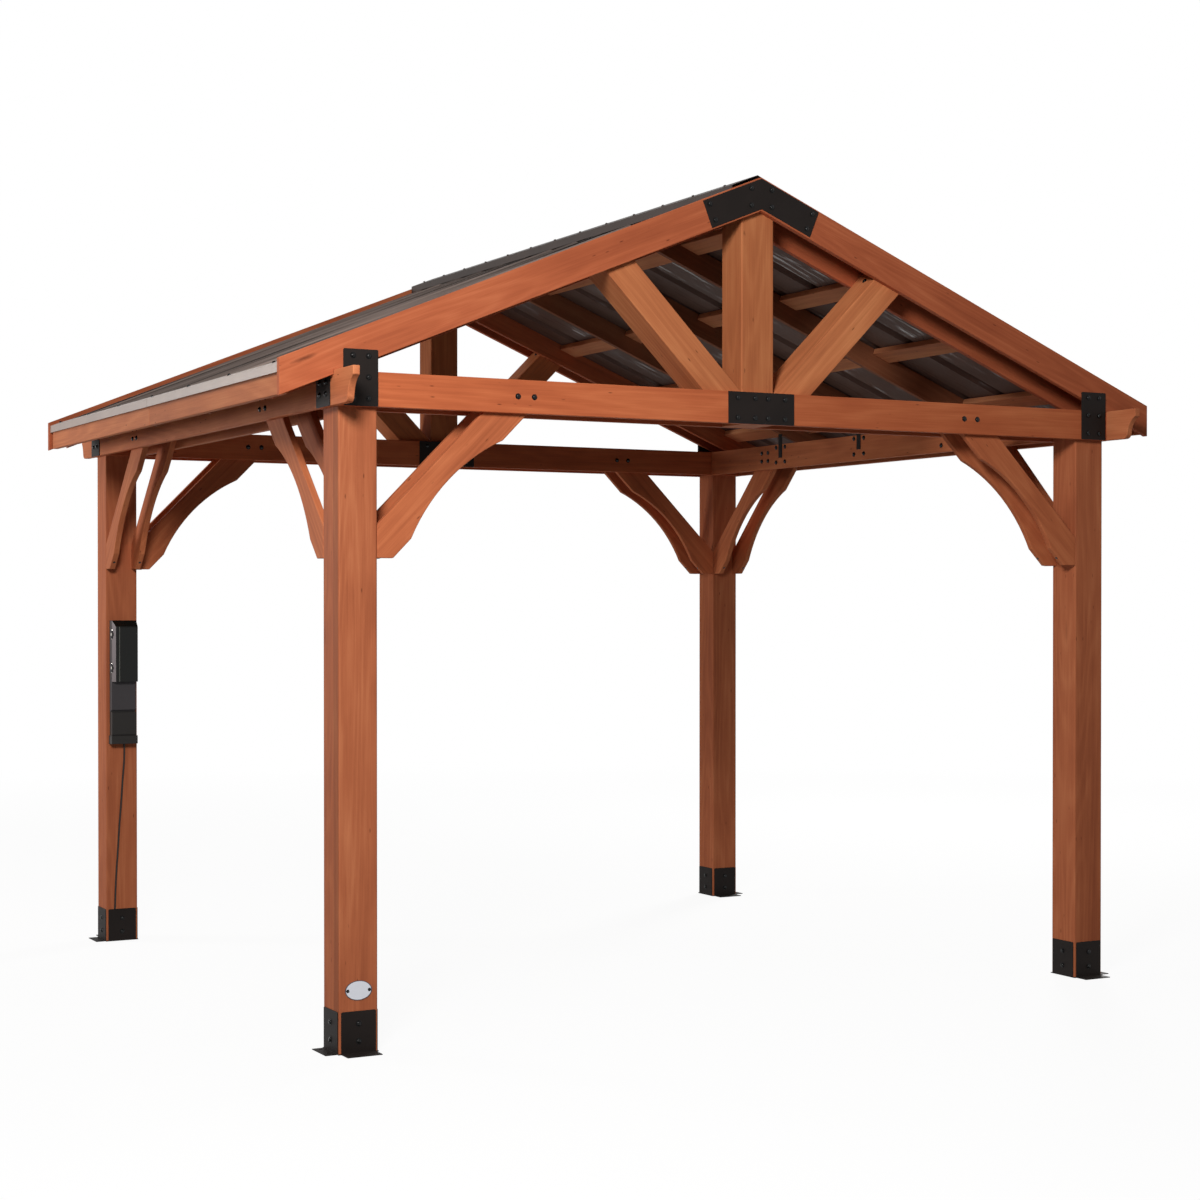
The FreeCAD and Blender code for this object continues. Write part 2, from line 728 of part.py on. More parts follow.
def hinge_leaf(name, low, reach, way):
    """One rolled leaf round the pin line, with a web towards the case (way 1) or the cover (way -1)."""
    barrel = cylinder(name + "_barrel", "hinge_radius", "hinge_leaf", (HINGE_X, HINGE_Y, low))
    if way > 0:
        corner = (HINGE_X, HINGE_Y, low)
    else:
        corner = (HINGE_X, f"{HINGE_Y} - ({reach})", low)
    web = box(name + "_web", ("2 * hinge_radius", reach, "hinge_leaf"), corner)
    return [barrel, web]


def build_outlet_box():
    """Weatherproof outlet unit on a post: lip, socket box, panel and the case behind the cover."""

    def block(name, reach, low, height, wider="0"):
        width = f"outlet_width + 2 * {wider}"
        corner = (f"{POST_X} - ({width}) / 2", f"{POST_FACE} - ({reach})", low)
        return box(name, (width, reach, height), corner)

    seam_top = f"({LIP_TOP} + seam_height)"
    groove_top = f"({SOCKET_TOP} + groove_height)"
    pieces = [
        block("outlet_lip", "lip_reach", "outlet_bottom", "lip_height", "lip_side_reach"),
        block("outlet_seam", "socket_box_reach - seam_depth", LIP_TOP, "seam_height"),
        block("outlet_socket_box", "socket_box_reach", seam_top, f"{SOCKET_TOP} - {seam_top}"),
        block("outlet_groove", "panel_reach - groove_depth", SOCKET_TOP, "groove_height"),
        block("outlet_panel", "panel_reach", groove_top, f"{COVER_TOP} - {groove_top}"),
    ]
    for n, low in enumerate(hinge_heights()):
        for m, shift in enumerate(("-(hinge_leaf + hinge_leaf_gap)", "hinge_leaf + hinge_leaf_gap")):
            pieces += hinge_leaf(f"case_leaf_{n}{m}", f"{low} + {shift}", "hinge_radius + 1", 1)
        pin_low = f"{low} - hinge_leaf - hinge_leaf_gap"
        pieces.append(cylinder(f"hinge_pin_{n}", "hinge_pin_radius", "3 * hinge_leaf + 2 * hinge_leaf_gap",
                               (HINGE_X, HINGE_Y, pin_low)))
    keep(fuse("outlet_box", pieces), "outlet_box")


def build_outlet_cover():
    """Hinged cover: a hollow case, bevelled at its hinge side and top, with a raised panel in front."""
    left = f"({POST_X} - outlet_width / 2)"
    right = f"({left} + outlet_width)"
    back = f"({POST_FACE} - panel_reach - cover_gap)"
    front = f"({back} - cover_reach)"
    flat_left = f"({left} + cover_side_bevel)"
    flat_top = f"({COVER_TOP} - cover_top_bevel)"
    points = [
        (left, back),
        (right, back),
        (right, front),
        (flat_left, front),
        (left, f"{back} - cover_side_wall"),
    ]
    body, sketch = outline("cover_shell", "XY_Plane", points)
    pad = body.newObject("PartDesign::Pad", "cover_pad")
    pad.Profile = sketch
    tie(pad, Length="cover_height")
    place(body, "0", "0", COVER_LOW)
    outside = f"({front} - cover_gap)"
    above = f"({COVER_TOP} + cover_gap)"
    slant = [
        (f"{back} - cover_side_wall", COVER_TOP),
        (f"{back} - cover_side_wall", above),
        (outside, above),
        (outside, flat_top),
        (front, flat_top),
    ]
    wedge = board("cover_slant", "YZ_Plane", slant, "2 * outlet_width", (POST_X, "0", "0"))
    hollow = box(
        "cover_hollow",
        (f"{right} - {flat_left} - 2 * cover_wall", "cover_reach - cover_wall",
         f"{flat_top} - {COVER_LOW} - 2 * cover_wall"),
        (f"{flat_left} + cover_wall", f"{front} + cover_wall", f"{COVER_LOW} + cover_wall"),
    )
    panel = box(
        "cover_panel",
        (f"{right} - {flat_left} - cover_panel_inset - cover_wall", "cover_panel_rise + cover_gap",
         f"{flat_top} - {COVER_LOW} - 2 * cover_wall"),
        (f"{flat_left} + cover_panel_inset", f"{front} - cover_panel_rise", f"{COVER_LOW} + cover_wall"),
    )
    clearances = []
    leaves = []
    for n, low in enumerate(hinge_heights()):
        slot_low = f"{low} - hinge_leaf - 2 * hinge_leaf_gap"
        slot_high = "3 * hinge_leaf + 4 * hinge_leaf_gap"
        clearances.append(box(
            f"cover_slot_{n}",
            ("2 * hinge_radius + cover_gap", "3 * hinge_radius", slot_high),
            (HINGE_X, f"{HINGE_Y} - hinge_radius - cover_gap", slot_low),
        ))
        leaves += hinge_leaf(f"cover_leaf_{n}", low, "2 * hinge_radius", -1)
    shell = cut("cover_cut", body, [wedge, hollow] + clearances)
    cover = fuse("cover_with_leaves", [shell, panel] + leaves)
    bores = [
        cylinder(f"cover_bore_{n}", "hinge_pin_radius + hinge_pin_room", "hinge_leaf + 2 * hinge_leaf_gap",
                 (HINGE_X, HINGE_Y, f"{low} - hinge_leaf_gap"))
        for n, low in enumerate(hinge_heights())
    ]
    keep(cut("outlet_cover", cover, bores), "outlet_cover")


# Sideways shift of the lead from the middle of the post, in mm, at shares of the way down
LEAD_ROUTE = [(10, 0), (10, 0.1), (2, 0.22), (-4, 0.35), (-13, 0.49), (-19, 0.63), (-29, 0.81), (-34, 1)]


def build_outlet_lead():
    """Lead that runs down the post face from the outlet unit to behind the foot bracket's top edge."""
    radius = value("cord_radius")
    x, y = value(POST_X), value(POST_FACE) - radius
    low, high = value("foot_plate_height + cord_gap"), value("outlet_bottom")
    points = [Vector(x + shift, y, high + (low - high) * share) for shift, share in LEAD_ROUTE]
    lead = doc.addObject("Part::Feature", "lead")
    lead.Shape = tube(points, radius)
    keep(lead, "outlet_lead")


def tube(points, radius):
    """A round tube along straight runs joined by tangent arcs."""
    edges = []
    start = points[0]
    for before, corner, after in zip(points, points[1:], points[2:]):
        back, ahead = (before - corner), (after - corner)
        turn = FreeCAD.Base.Vector(back).getAngle(ahead * -1)
        shorter = min(back.Length, ahead.Length)
        bend = 0.45 * shorter / max(abs(math.tan(turn / 2)), 1e-6)
        reach = 0.45 * shorter
        first = corner + Vector(back).normalize() * reach
        last = corner + Vector(ahead).normalize() * reach
        inward = (Vector(back).normalize() + Vector(ahead).normalize())
        centre = corner + inward.normalize() * (bend ** 2 + reach ** 2) ** 0.5
        middle = centre + (corner - centre).normalize() * bend
        edges.append(Part.LineSegment(start, first).toShape())
        edges.append(Part.Arc(first, middle, last).toShape())
        start = last
        print(f"lead bend radius {bend:.0f}")
    edges.append(Part.LineSegment(start, points[-1]).toShape())
    path = Part.Wire(edges)
    section = Part.Wire([Part.makeCircle(radius, points[0], points[1] - points[0])])
    return path.makePipeShell([section], True, False)


def build_badge():
    """Blank oval plate on the front left post."""
    disc = doc.addObject("Part::Extrusion", "badge")
    ring = doc.addObject("Part::Ellipse", "badge_ring")
    tie(ring, MajorRadius="badge_width / 2", MinorRadius="badge_height / 2")
    ring.Placement.Rotation = FreeCAD.Rotation(Vector(1, 0, 0), 90)
    place(ring, POST_X, f"-{OUT_Y}", "badge_centre")
    disc.Base = ring
    disc.DirMode = "Normal"
    disc.Solid = True
    disc.Reversed = True
    tie(disc, LengthFwd="badge_gauge")
    keep(disc, "badge_plate")


build_posts()
build_foot_brackets()
build_headers()
build_chords()
build_rafters()
build_ridge_board()
build_king_posts()
build_webs()
build_braces()
build_purlins()
build_roof_sheets()
build_ridge_cap()
build_eaves()
build_truss_plates()
build_header_plates()
build_outlet_box()
build_outlet_cover()
build_outlet_lead()
build_badge()
doc.recompute()

for item in doc.Objects:
    if "Invalid" in item.State or "Error" in item.State:
        raise RuntimeError(f"{item.Label} could not be built")
os.makedirs("parts", exist_ok=True)
for node in nodes:
    shape = node.Shape
    if shape.isNull() or not shape.isValid() or not shape.Solids:
        raise RuntimeError(f"{node.Label} has no valid solid")
for node in nodes:
    node.Shape.exportStep(f"parts/{node.Label}.step")
    print(f"{node.Label}: {len(node.Shape.Solids)} solids, {node.Shape.Volume / 1e6:.2f} dm3")
print(f"{len(nodes)} sub-parts")
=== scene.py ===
# %% [markdown]
# # A wooden gazebo, dressed for its picture
# The timber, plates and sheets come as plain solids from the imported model. This lesson eases
# their edges, stains the wood, paints the metal and adds the small fasteners that hold the
# shelter together. Sizes are in metres and +Y runs along the ridge, away from the viewer.

# %% Load the frame
import math
import random

import bmesh
import bpy
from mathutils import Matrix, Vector


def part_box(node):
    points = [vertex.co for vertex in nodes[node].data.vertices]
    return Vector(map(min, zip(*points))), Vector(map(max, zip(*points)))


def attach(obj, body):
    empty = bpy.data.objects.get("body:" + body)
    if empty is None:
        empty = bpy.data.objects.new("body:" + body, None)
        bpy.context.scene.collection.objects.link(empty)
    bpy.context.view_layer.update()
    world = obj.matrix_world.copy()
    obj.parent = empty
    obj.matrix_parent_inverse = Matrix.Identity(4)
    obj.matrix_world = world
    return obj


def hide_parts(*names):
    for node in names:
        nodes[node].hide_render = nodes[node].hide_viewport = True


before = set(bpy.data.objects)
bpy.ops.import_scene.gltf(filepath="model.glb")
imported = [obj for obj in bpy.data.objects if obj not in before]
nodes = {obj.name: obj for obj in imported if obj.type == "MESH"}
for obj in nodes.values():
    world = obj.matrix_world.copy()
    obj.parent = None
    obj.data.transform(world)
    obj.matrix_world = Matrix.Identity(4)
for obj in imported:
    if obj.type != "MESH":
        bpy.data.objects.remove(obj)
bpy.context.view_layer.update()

BODY = "shelter"
COVER = "cover"

# %% [markdown]
# ## Measures of the frame
# Fasteners sit where the solids are, so their places could be typed in, but they would be wrong
# as soon as the model changes. They are read from the boxes of the nodes instead: the box of a
# post gives its side, and the box of a header gives the heights of the beams.

# %% Read the main measures
post_low, post_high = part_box("post_front_left")
POST_SIDE = post_high.x - post_low.x
POST_X = -(post_low.x + post_high.x) / 2
POST_Y = -(post_low.y + post_high.y) / 2
header_low, header_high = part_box("header_right")
BEAM_LOW, BEAM_TOP = header_low.z, header_high.z
BEAM_MID = (BEAM_LOW + BEAM_TOP) / 2
HEADER_OUT, HEADER_IN = header_high.x, header_low.x
chord_low, chord_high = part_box("chord_front")
CHORD_OUT, CHORD_IN = -chord_low.y, -chord_high.y
PLATE_FACE = -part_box("truss_plates_front")[0].y
PLATE = PLATE_FACE - CHORD_OUT
SLOPE = 0.407
PITCH = math.atan(SLOPE)
print(f"post {POST_SIDE:.3f} at {POST_X:.3f}, {POST_Y:.3f}; beam {BEAM_LOW:.3f} to {BEAM_TOP:.3f}")
print(f"header {HEADER_IN:.3f} to {HEADER_OUT:.3f}; chord {CHORD_IN:.3f} to {CHORD_OUT:.3f}")

# %% [markdown]
# ## Networks of nodes as Python
# A material is a network of nodes, and so is a Geometry Nodes tree. Added one by one in a
# script, nodes are hard to follow. Here one method adds every node: it takes the node's type,
# its settings, and what goes into its sockets. A number inside a network is wrapped in `Sum`,
# so that + - * / on it build the Math nodes.

# %% A network and its numbers
def colour_stops(ramp, stops):
    """Gives a ramp its colours; the first and the last stop are there already."""
    ramp.elements[0].color, ramp.elements[-1].color = stops[0][1], stops[-1][1]
    for where, colour in stops[1:-1]:
        ramp.elements.new(where).color = colour


class Network:
    """A node tree whose nodes all come from one method."""

    def __init__(self, tree):
        self.tree = tree

    def node(self, kind, settings=None, **sockets):
        """Adds a node, sets its properties, then fills or links its sockets.

        A socket goes by its name, with _ for a space, or by its number, as in i0.
        """
        step = self.tree.nodes.new(kind)
        for key, setting in (settings or {}).items():
            if key == "stops":
                colour_stops(step.color_ramp, setting)
            else:
                setattr(step, key, setting)
        for key, item in sockets.items():
            numbered = key[0] == "i" and key[1:].isdigit()
            self.fill(step.inputs[int(key[1:]) if numbered else key.replace("_", " ")], item)
        return step

    def fill(self, place, item):
        """Links a socket to a wrapped number or another socket, or gives it a plain value."""
        if isinstance(item, Sum):
            item = item.socket
        if isinstance(item, bpy.types.NodeSocket):
            self.tree.links.new(item, place)
        else:
            place.default_value = item


class Sum:
    """A number in a network, with operators that add Math nodes."""

    def __init__(self, net, socket):
        self.net, self.socket = net, socket

    def math(self, operation, *others):
        inputs = {f"i{n}": item for n, item in enumerate((self,) + others)}
        return Sum(self.net, self.net.node("ShaderNodeMath", {"operation": operation}, **inputs).outputs[0])

    def __add__(self, other):
        return self.math("ADD", other)

    def __sub__(self, other):
        return self.math("SUBTRACT", other)

    def __mul__(self, other):
        return self.math("MULTIPLY", other)

    def __truediv__(self, other):
        return self.math("DIVIDE", other)

    def __rsub__(self, other):
        return (self * -1) + other

    __radd__ = __add__
    __rmul__ = __mul__

    def between(self, low, high):
        """0 below low, 1 above high and a straight line between them."""
        step = self.net.node("ShaderNodeMapRange", Value=self, From_Min=low, From_Max=high)
        return Sum(self.net, step.outputs["Result"])


# %% [markdown]
# ## A material to paint with
# Every finish of the gazebo starts from Blender's Principled shader and a pattern that is worked
# out in space. Image textures would need UV maps on some fifty pieces, and would repeat. So the
# patterns read Object coordinates, in metres, and run on from one board to the next. Colours are
# picked as screen values and turned into the linear ones that a shader takes.

# %% A material and a colour
class Paint(Network):
    """A new material; its Principled shader is self.shader."""

    def __init__(self, name):
        self.material = bpy.data.materials.new(name)
        self.material.use_nodes = True
        super().__init__(self.material.node_tree)
        self.shader = self.tree.nodes["Principled BSDF"]

    def set(self, **sockets):
        """Fills or links sockets of the shader."""
        for key, item in sockets.items():
            self.fill(self.shader.inputs[key.replace("_", " ")], item)
        return self

    def split(self, output):
        """The X, Y and Z of one output of the Texture Coordinate node, as sums."""
        source = self.node("ShaderNodeTexCoord").outputs[output]
        return [Sum(self, part) for part in self.node("ShaderNodeSeparateXYZ", i0=source).outputs]

    def place(self):
        """Where a point is on the object."""
        return self.split("Object")

    def facing(self):
        """Which way the surface looks there."""
        return self.split("Normal")

    def vector(self, x, y, z):
        return self.node("ShaderNodeCombineXYZ", i0=x, i1=y, i2=z).outputs[0]

    def noise(self, vector, scale=1.0, detail=2.0, roughness=0.5):
        step = self.node("ShaderNodeTexNoise", Vector=vector, Scale=scale, Detail=detail, Roughness=roughness)
        return Sum(self, step.outputs["Fac"])

    def mix(self, factor, first, second, blend="MIX"):
        """Two colours mixed by a factor; the node keeps its colour sockets at 6, 7 and 2."""
        step = self.node("ShaderNodeMix", {"data_type": "RGBA", "blend_type": blend},
                         i0=factor, i6=first, i7=second)
        return step.outputs[2]

    def bump(self, height, strength, distance):
        step = self.node("ShaderNodeBump", Strength=strength, Distance=distance, Height=height)
        return self.set(Normal=step.outputs[0])


def rgb(red, green, blue):
    """A screen colour, 0 to 255, as the linear colour that a shader takes."""
    def linear(channel):
        channel /= 255
        return channel / 12.92 if channel <= 0.04045 else ((channel + 0.055) / 1.055) ** 2.4
    return (linear(red), linear(green), linear(blue), 1.0)


print("a middle grey in linear values:", [round(part, 3) for part in rgb(128, 128, 128)])

# %% [markdown]
# ## Which way the grain runs
# Grain follows each board, and the boards of a gazebo lie level, upright, up the roof's slope
# and at 45 degrees. One pattern serves them all when the coordinates are turned first. A pair
# that mirrors left and right is folded at the middle, so that both of its boards get the angle.
# Each board's own number, which is stored on its faces further down, shifts the pattern.

# %% Turn the coordinates along the grain
SLOPE_DEG = math.degrees(PITCH)
SHIFT_ALONG, SHIFT_ACROSS = 7, 3


def along_grain(paint, across, angle, fold):
    """How far a point is along the grain, across it and into the board, and the board's number."""
    x, y, z = paint.place()
    level, depth = (x, y) if across == "X" else (y, x)
    if fold:
        level = level.math("ABSOLUTE")
    own = Sum(paint, paint.node("ShaderNodeAttribute", {"attribute_name": "board"}).outputs["Fac"])
    lean = math.radians(angle)
    run = level * math.cos(lean) + z * math.sin(lean) + own * SHIFT_ALONG
    side = z * math.cos(lean) - level * math.sin(lean) + own * SHIFT_ACROSS
    return run, side, depth, own


print("the roof's slope in degrees:", round(SLOPE_DEG, 2))

# %% [markdown]
# ## The figure of stained softwood
# Seen close, the boards show straight fine fibres, streaks, broad bands where the wood drank
# more stain, cloudy patches and the thin lines of growth rings. A photograph of wood has all of
# that at once. Here each is a layer of noise that is stretched along the grain, and a table
# holds their sizes, so that one of them can be changed alone.

# %% Figure of the wood
# Each layer: how fast it changes along and across the grain, its detail, roughness and share
LAYERS = {
    "streak": (2.2, 70, 5, 0.65, 0.26),
    "fibre": (6, 300, 3, 0.5, 0.16),
    "band": (0.6, 10, 2, 0.5, 0.22),
    "patch": (3, 9, 4, 0.5, 0.3),
}
RING_ALONG, RING_ACROSS, RINGS, RING_SHARE = 0.55, 5.5, 95, 0.06


def figure(paint, axes):
    """The layers by name, and their sum with the growth rings."""
    run, side, depth = axes
    layers, grain = {}, 0
    for name, (along, across, detail, roughness, share) in LAYERS.items():
        where = paint.vector(run * along, side * across, depth * across)
        layers[name] = paint.noise(where, detail=detail, roughness=roughness)
        grain = layers[name] * share + grain
    where = paint.vector(run * RING_ALONG, side * RING_ACROSS, depth * RING_ACROSS)
    ring = (paint.noise(where, detail=1) * RINGS + layers["streak"] * 3).math("SINE") * 0.5 + 0.5
    return layers, grain + ring * ring * RING_SHARE


print("layers of figure:", len(LAYERS) + 1)

# %% [markdown]
# ## Knots and specks
# Softwood has a few small dark knots and many tiny specks. They could be painted by hand on
# every board. A Voronoi texture does it by rule: it cuts space into cells, and a share of the
# cells gets a soft spot in its middle, drawn out along the grain.

# %% Spots in the wood
# Each kind: cells along and across the grain in a metre, their share, spot size and strength
KNOTS = (2.1, 13, 0.07, 0.15, 0.7)
SPECKS = (16, 60, 0.14, 0.22, 0.75)


def flecks(paint, axes, kind):
    """Soft spots of one kind, from 0 to their strength."""
    run, side, depth = axes
    along, across, share, size, strength = kind
    where = paint.vector(run * along, side * across + 3.1, depth * across)
    cell = paint.node("ShaderNodeTexVoronoi", {"feature": "F1"}, Vector=where, Scale=1.0)
    chance = paint.node("ShaderNodeSeparateColor", i0=cell.outputs["Color"])
    picked = Sum(paint, chance.outputs[0]).between(1 - share, 1.01 - share)
    wobble = paint.noise(paint.vector(run * 40, side * 60, depth * 60), detail=2)
    reach = Sum(paint, cell.outputs["Distance"]) + wobble * size * 0.4
    return (1 - reach.between(size * 0.4, size)) * picked * strength


print("share of cells with a knot and with a speck:", KNOTS[2], SPECKS[2])

# %% [markdown]
# ## A darker lamination
# The posts are glued up from boards, and the outermost one on the side of the front left post
# took more stain than the rest. A loose strip of geometry could show it, but it is only a
# colour, so a mask picks that strip: one corner of the plan, and faces that look sideways.

# %% Mask of the dark lamination
LAMINATION = 0.023


def dark_lamination(paint):
    """1 on the side of the front left post's outermost lamination, else 0."""
    x, y, _ = paint.place()
    east, _, _ = paint.facing()
    edge = POST_Y + LAMINATION
    corner = (-1 * x).between(1.0, 1.1) * (-1 * y).between(edge - 0.001, edge + 0.001)
    return corner * east.math("ABSOLUTE").between(0.7, 0.9)


print(f"the strip starts {LAMINATION} in front of the post's middle")

# %% [markdown]
# ## The timber finishes
# All the boards carry the same red-brown stain, yet each part of the frame has a tint of its
# own. The tint is partly the tone of boards from other trees and partly painted light and
# shade, where the lamps alone give a part too much or too little light. The finish is therefore
# one function with a tint. It multiplies the stain, so the figure stays as it is. The finish is
# nearly matte, with a fine relief of fibres.

# %% Timber finishes
PALE, MEAN, DEEP, KNOT = rgb(208, 124, 82), rgb(187, 103, 66), rgb(158, 82, 52), rgb(84, 40, 26)
STAIN = ((0.0, DEEP), (0.5, MEAN), (1.0, PALE))


def timber(name, across="X", angle=0.0, fold=False, tint_with_painted_light=(1, 1, 1), laminated=0.0):
    """Stain over grain that runs at an angle, in degrees, in the plane of one level axis and Z."""
    paint = Paint(name)
    *axes, own = along_grain(paint, across, angle, fold)
    layers, grain = figure(paint, axes)
    spots = flecks(paint, axes, KNOTS).math("MAXIMUM", flecks(paint, axes, SPECKS))
    stain = paint.node("ShaderNodeValToRGB", {"stops": STAIN}, i0=grain.between(0.32, 0.68))
    tone = 0.9 + own * 0.2
    if laminated:
        tone = tone * (1 - dark_lamination(paint) * laminated)
    # The tint is partly the part's own tone and partly painted light and shade.
    shade = paint.node("ShaderNodeCombineColor", i0=tone * tint_with_painted_light[0], i1=tone * tint_with_painted_light[1], i2=tone * tint_with_painted_light[2])
    spotted = paint.mix(spots, stain.outputs[0], KNOT)
    paint.set(Base_Color=paint.mix(1.0, spotted, shade.outputs[0], blend="MULTIPLY"),
              Roughness=0.58 + grain * 0.2, Specular_IOR_Level=0.1)
    return paint.bump(layers["fibre"] * 0.6 + layers["streak"] * 0.4, 0.2, 0.0008).material


TIMBER = {
    "post": timber("stained_post", angle=90, tint_with_painted_light=(1.0, 1.08, 1.14), laminated=0.22),
    "beam_x": timber("stained_tie_beam", tint_with_painted_light=(0.99, 0.92, 0.87)),
    "beam_y": timber("stained_header", across="Y", tint_with_painted_light=(1.02, 1.17, 1.22)),
    "rafter": timber("stained_rafter", angle=-SLOPE_DEG, fold=True, tint_with_painted_light=(0.93, 0.88, 0.91)),
    # The inner rafters' dark tint is painted shade: the lamps alone don't darken them enough.
    "inner_rafter": timber("stained_inner_rafter", angle=-SLOPE_DEG, fold=True, tint_with_painted_light=(0.52, 0.68, 0.8)),
    "web": timber("stained_web", angle=45, fold=True, tint_with_painted_light=(1.12, 1.36, 1.32)),
    "king": timber("stained_king_post", angle=90, tint_with_painted_light=(1.02, 1.2, 1.14)),
    "brace_x": timber("stained_gable_brace", angle=135, fold=True, tint_with_painted_light=(0.98, 1.02, 1.02)),
    "brace_y": timber("stained_side_brace", across="Y", angle=135, fold=True, tint_with_painted_light=(1.0, 1.1, 1.12)),
    "purlin": timber("stained_purlin", across="Y", tint_with_painted_light=(1.28, 1.8, 2.1)),
    "fascia": timber("stained_fascia", across="Y", tint_with_painted_light=(1.0, 1.2, 1.25)),
}
print("timber finishes:", len(TIMBER))

# %% [markdown]
# ## Powder coat and moulded plastic
# The plates and shoes wear a charcoal powder coat, which is dark, matte and very slightly
# pebbled. The moulded and rubber pieces differ from it only in colour and gloss, so one recipe
# with a slow cloud in its colour and a fine bump makes them all.

# %% Plain coats
CLOUDS, PEBBLES = 6.0, 700.0


def coated(name, colour, rough, grit=0.15, metallic=0.0, shine=0.5):
    """Paint or moulded skin with a fine pebble and slow changes of sheen."""
    paint = Paint(name)
    where = paint.vector(*paint.place())
    cloud = paint.noise(where, scale=CLOUDS, detail=4)
    pebble = paint.noise(where, scale=PEBBLES, detail=1)
    light = [min(1.0, part * 1.25) for part in rgb(*colour)[:3]] + [1]
    dark = [part * 0.8 for part in rgb(*colour)[:3]] + [1]
    paint.set(Base_Color=paint.mix(cloud.between(0.3, 0.7), dark, light),
              Roughness=rough - 0.06 + cloud * 0.12, Metallic=metallic, Specular_IOR_Level=shine)
    return paint.bump(pebble, grit, 0.0004).material


FINISH = {
    "plate": coated("powder_coat", (32, 27, 25), 0.6, shine=0.1),
    "cap": coated("ridge_cap_paint", (70, 60, 56), 0.5, grit=0.05, shine=0.15),
    "bolt": coated("black_bolt", (12, 11, 11), 0.22, grit=0.0, shine=0.2),
    "lead": coated("lead_sheath", (30, 22, 19), 0.5, shine=0.3),
    "pin": coated("bright_pin", (226, 222, 216), 0.25, grit=0.0, metallic=1.0),
}
print("plain coats:", len(FINISH))

# %% [markdown]
# ## Painted roof sheet
# The sheets are thin steel with baked brown paint. From outside, the flanks of each rib get a
# tone of their own, dark or light at random from rib to rib: this is painted light and shade,
# for ribs that are folded not quite alike and so catch the light differently. The underside is
# rubbed along the slope and shows short soft streaks of gloss. A clear coat over a dull paint
# gives them: its weight follows a noise that is stretched down the slope.

# %% Roof sheet
RIB_PITCH = 0.229


def ribbed_sheet(name):
    """Baked paint on thin sheet: painted light and shade on the rib flanks outside, rubbed streaks on the
    underside.
    """
    paint = Paint(name)
    x, y, z = paint.place()
    _, north, sky = paint.facing()
    outer = sky.between(-0.05, 0.05)
    down = x.math("ABSOLUTE") * math.cos(PITCH) - z * math.sin(PITCH)
    wave = paint.noise(paint.vector(down * 4, y * 30, 0.0), detail=3)
    rub = paint.noise(paint.vector(down * 4.5, y * 55, 0.7), detail=3, roughness=0.55)
    cloud = paint.noise(paint.vector(down * 2, y * 2, 0.0), detail=4).between(0.3, 0.7)
    rib = (y / RIB_PITCH).math("ROUND")
    own = paint.noise(paint.vector(rib * 3.7, down * 0.8, 0.0), detail=1).between(0.35, 0.65)
    flank = north.math("ABSOLUTE").between(0.25, 0.35)
    # The flanks' dark and light tones, one per rib, are painted light and shade.
    flank_light_and_shade = paint.mix(own, rgb(34, 28, 26), rgb(138, 122, 114))
    outside = paint.mix(flank, paint.mix(cloud, rgb(72, 62, 57), rgb(88, 77, 71)), flank_light_and_shade)
    inside = paint.mix(cloud, rgb(76, 57, 49), rgb(104, 80, 70))
    paint.set(Base_Color=paint.mix(outer, inside, outside), Roughness=0.6, Specular_IOR_Level=0.12,
              Coat_Weight=rub.between(0.58, 0.66) * (1 - outer) * 0.75, Coat_Roughness=0.15)
    return paint.bump(wave, 0.3, 0.006).material


FINISH["sheet"] = ribbed_sheet("roof_paint")
SIDE_RIBS = int(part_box("roof_sheets_right")[1].y / RIB_PITCH)
print("ribs on each slope:", 2 * SIDE_RIBS + 1)

# %% [markdown]
# ## The pale drip edge
# A folded strip of paler paint covers the ends of the ribs. It comes in two lengths that meet
# at the middle of the eave, and the joint reads as a fine dark line. The gap itself is in the
# solid, but it is only 2 mm wide, so the line is painted as well.

# %% Drip edge
def jointed_trim(name):
    """Pale satin paint with a dark line where its two lengths meet."""
    paint = Paint(name)
    x, y, z = paint.place()
    cloud = paint.noise(paint.vector(x, y, z), scale=CLOUDS, detail=4)
    joint = 1 - y.math("ABSOLUTE").between(0.0008, 0.0018)
    plain = paint.mix(cloud.between(0.3, 0.7), rgb(144, 123, 112), rgb(160, 139, 127))
    paint.set(Base_Color=paint.mix(joint, plain, rgb(92, 80, 74)), Roughness=0.34 + cloud * 0.12,
              Specular_IOR_Level=0.4)
    return paint.material


FINISH["trim"] = jointed_trim("drip_edge_paint")
print("drip edge finish:", FINISH["trim"].name)

# %% [markdown]
# ## Plastic of the outlet unit
# The cover is smoked plastic, nearly black in front. Its side, which slants to the light, is
# painted paler as a painted reflection, its raised panel has a thin painted highlight on its
# edge, and the hinge barrels are painted near white as a painted glint of their shiny pins. The
# case behind it is matte, and its lower box is darker than its panel. The zones lie in known
# places, so masks made of places and directions pick them, and the two pieces need no extra
# seams.

# %% Cover and case of the outlet unit
PANEL_EDGE = 0.032
SOCKET_BOX_TOP = 0.145


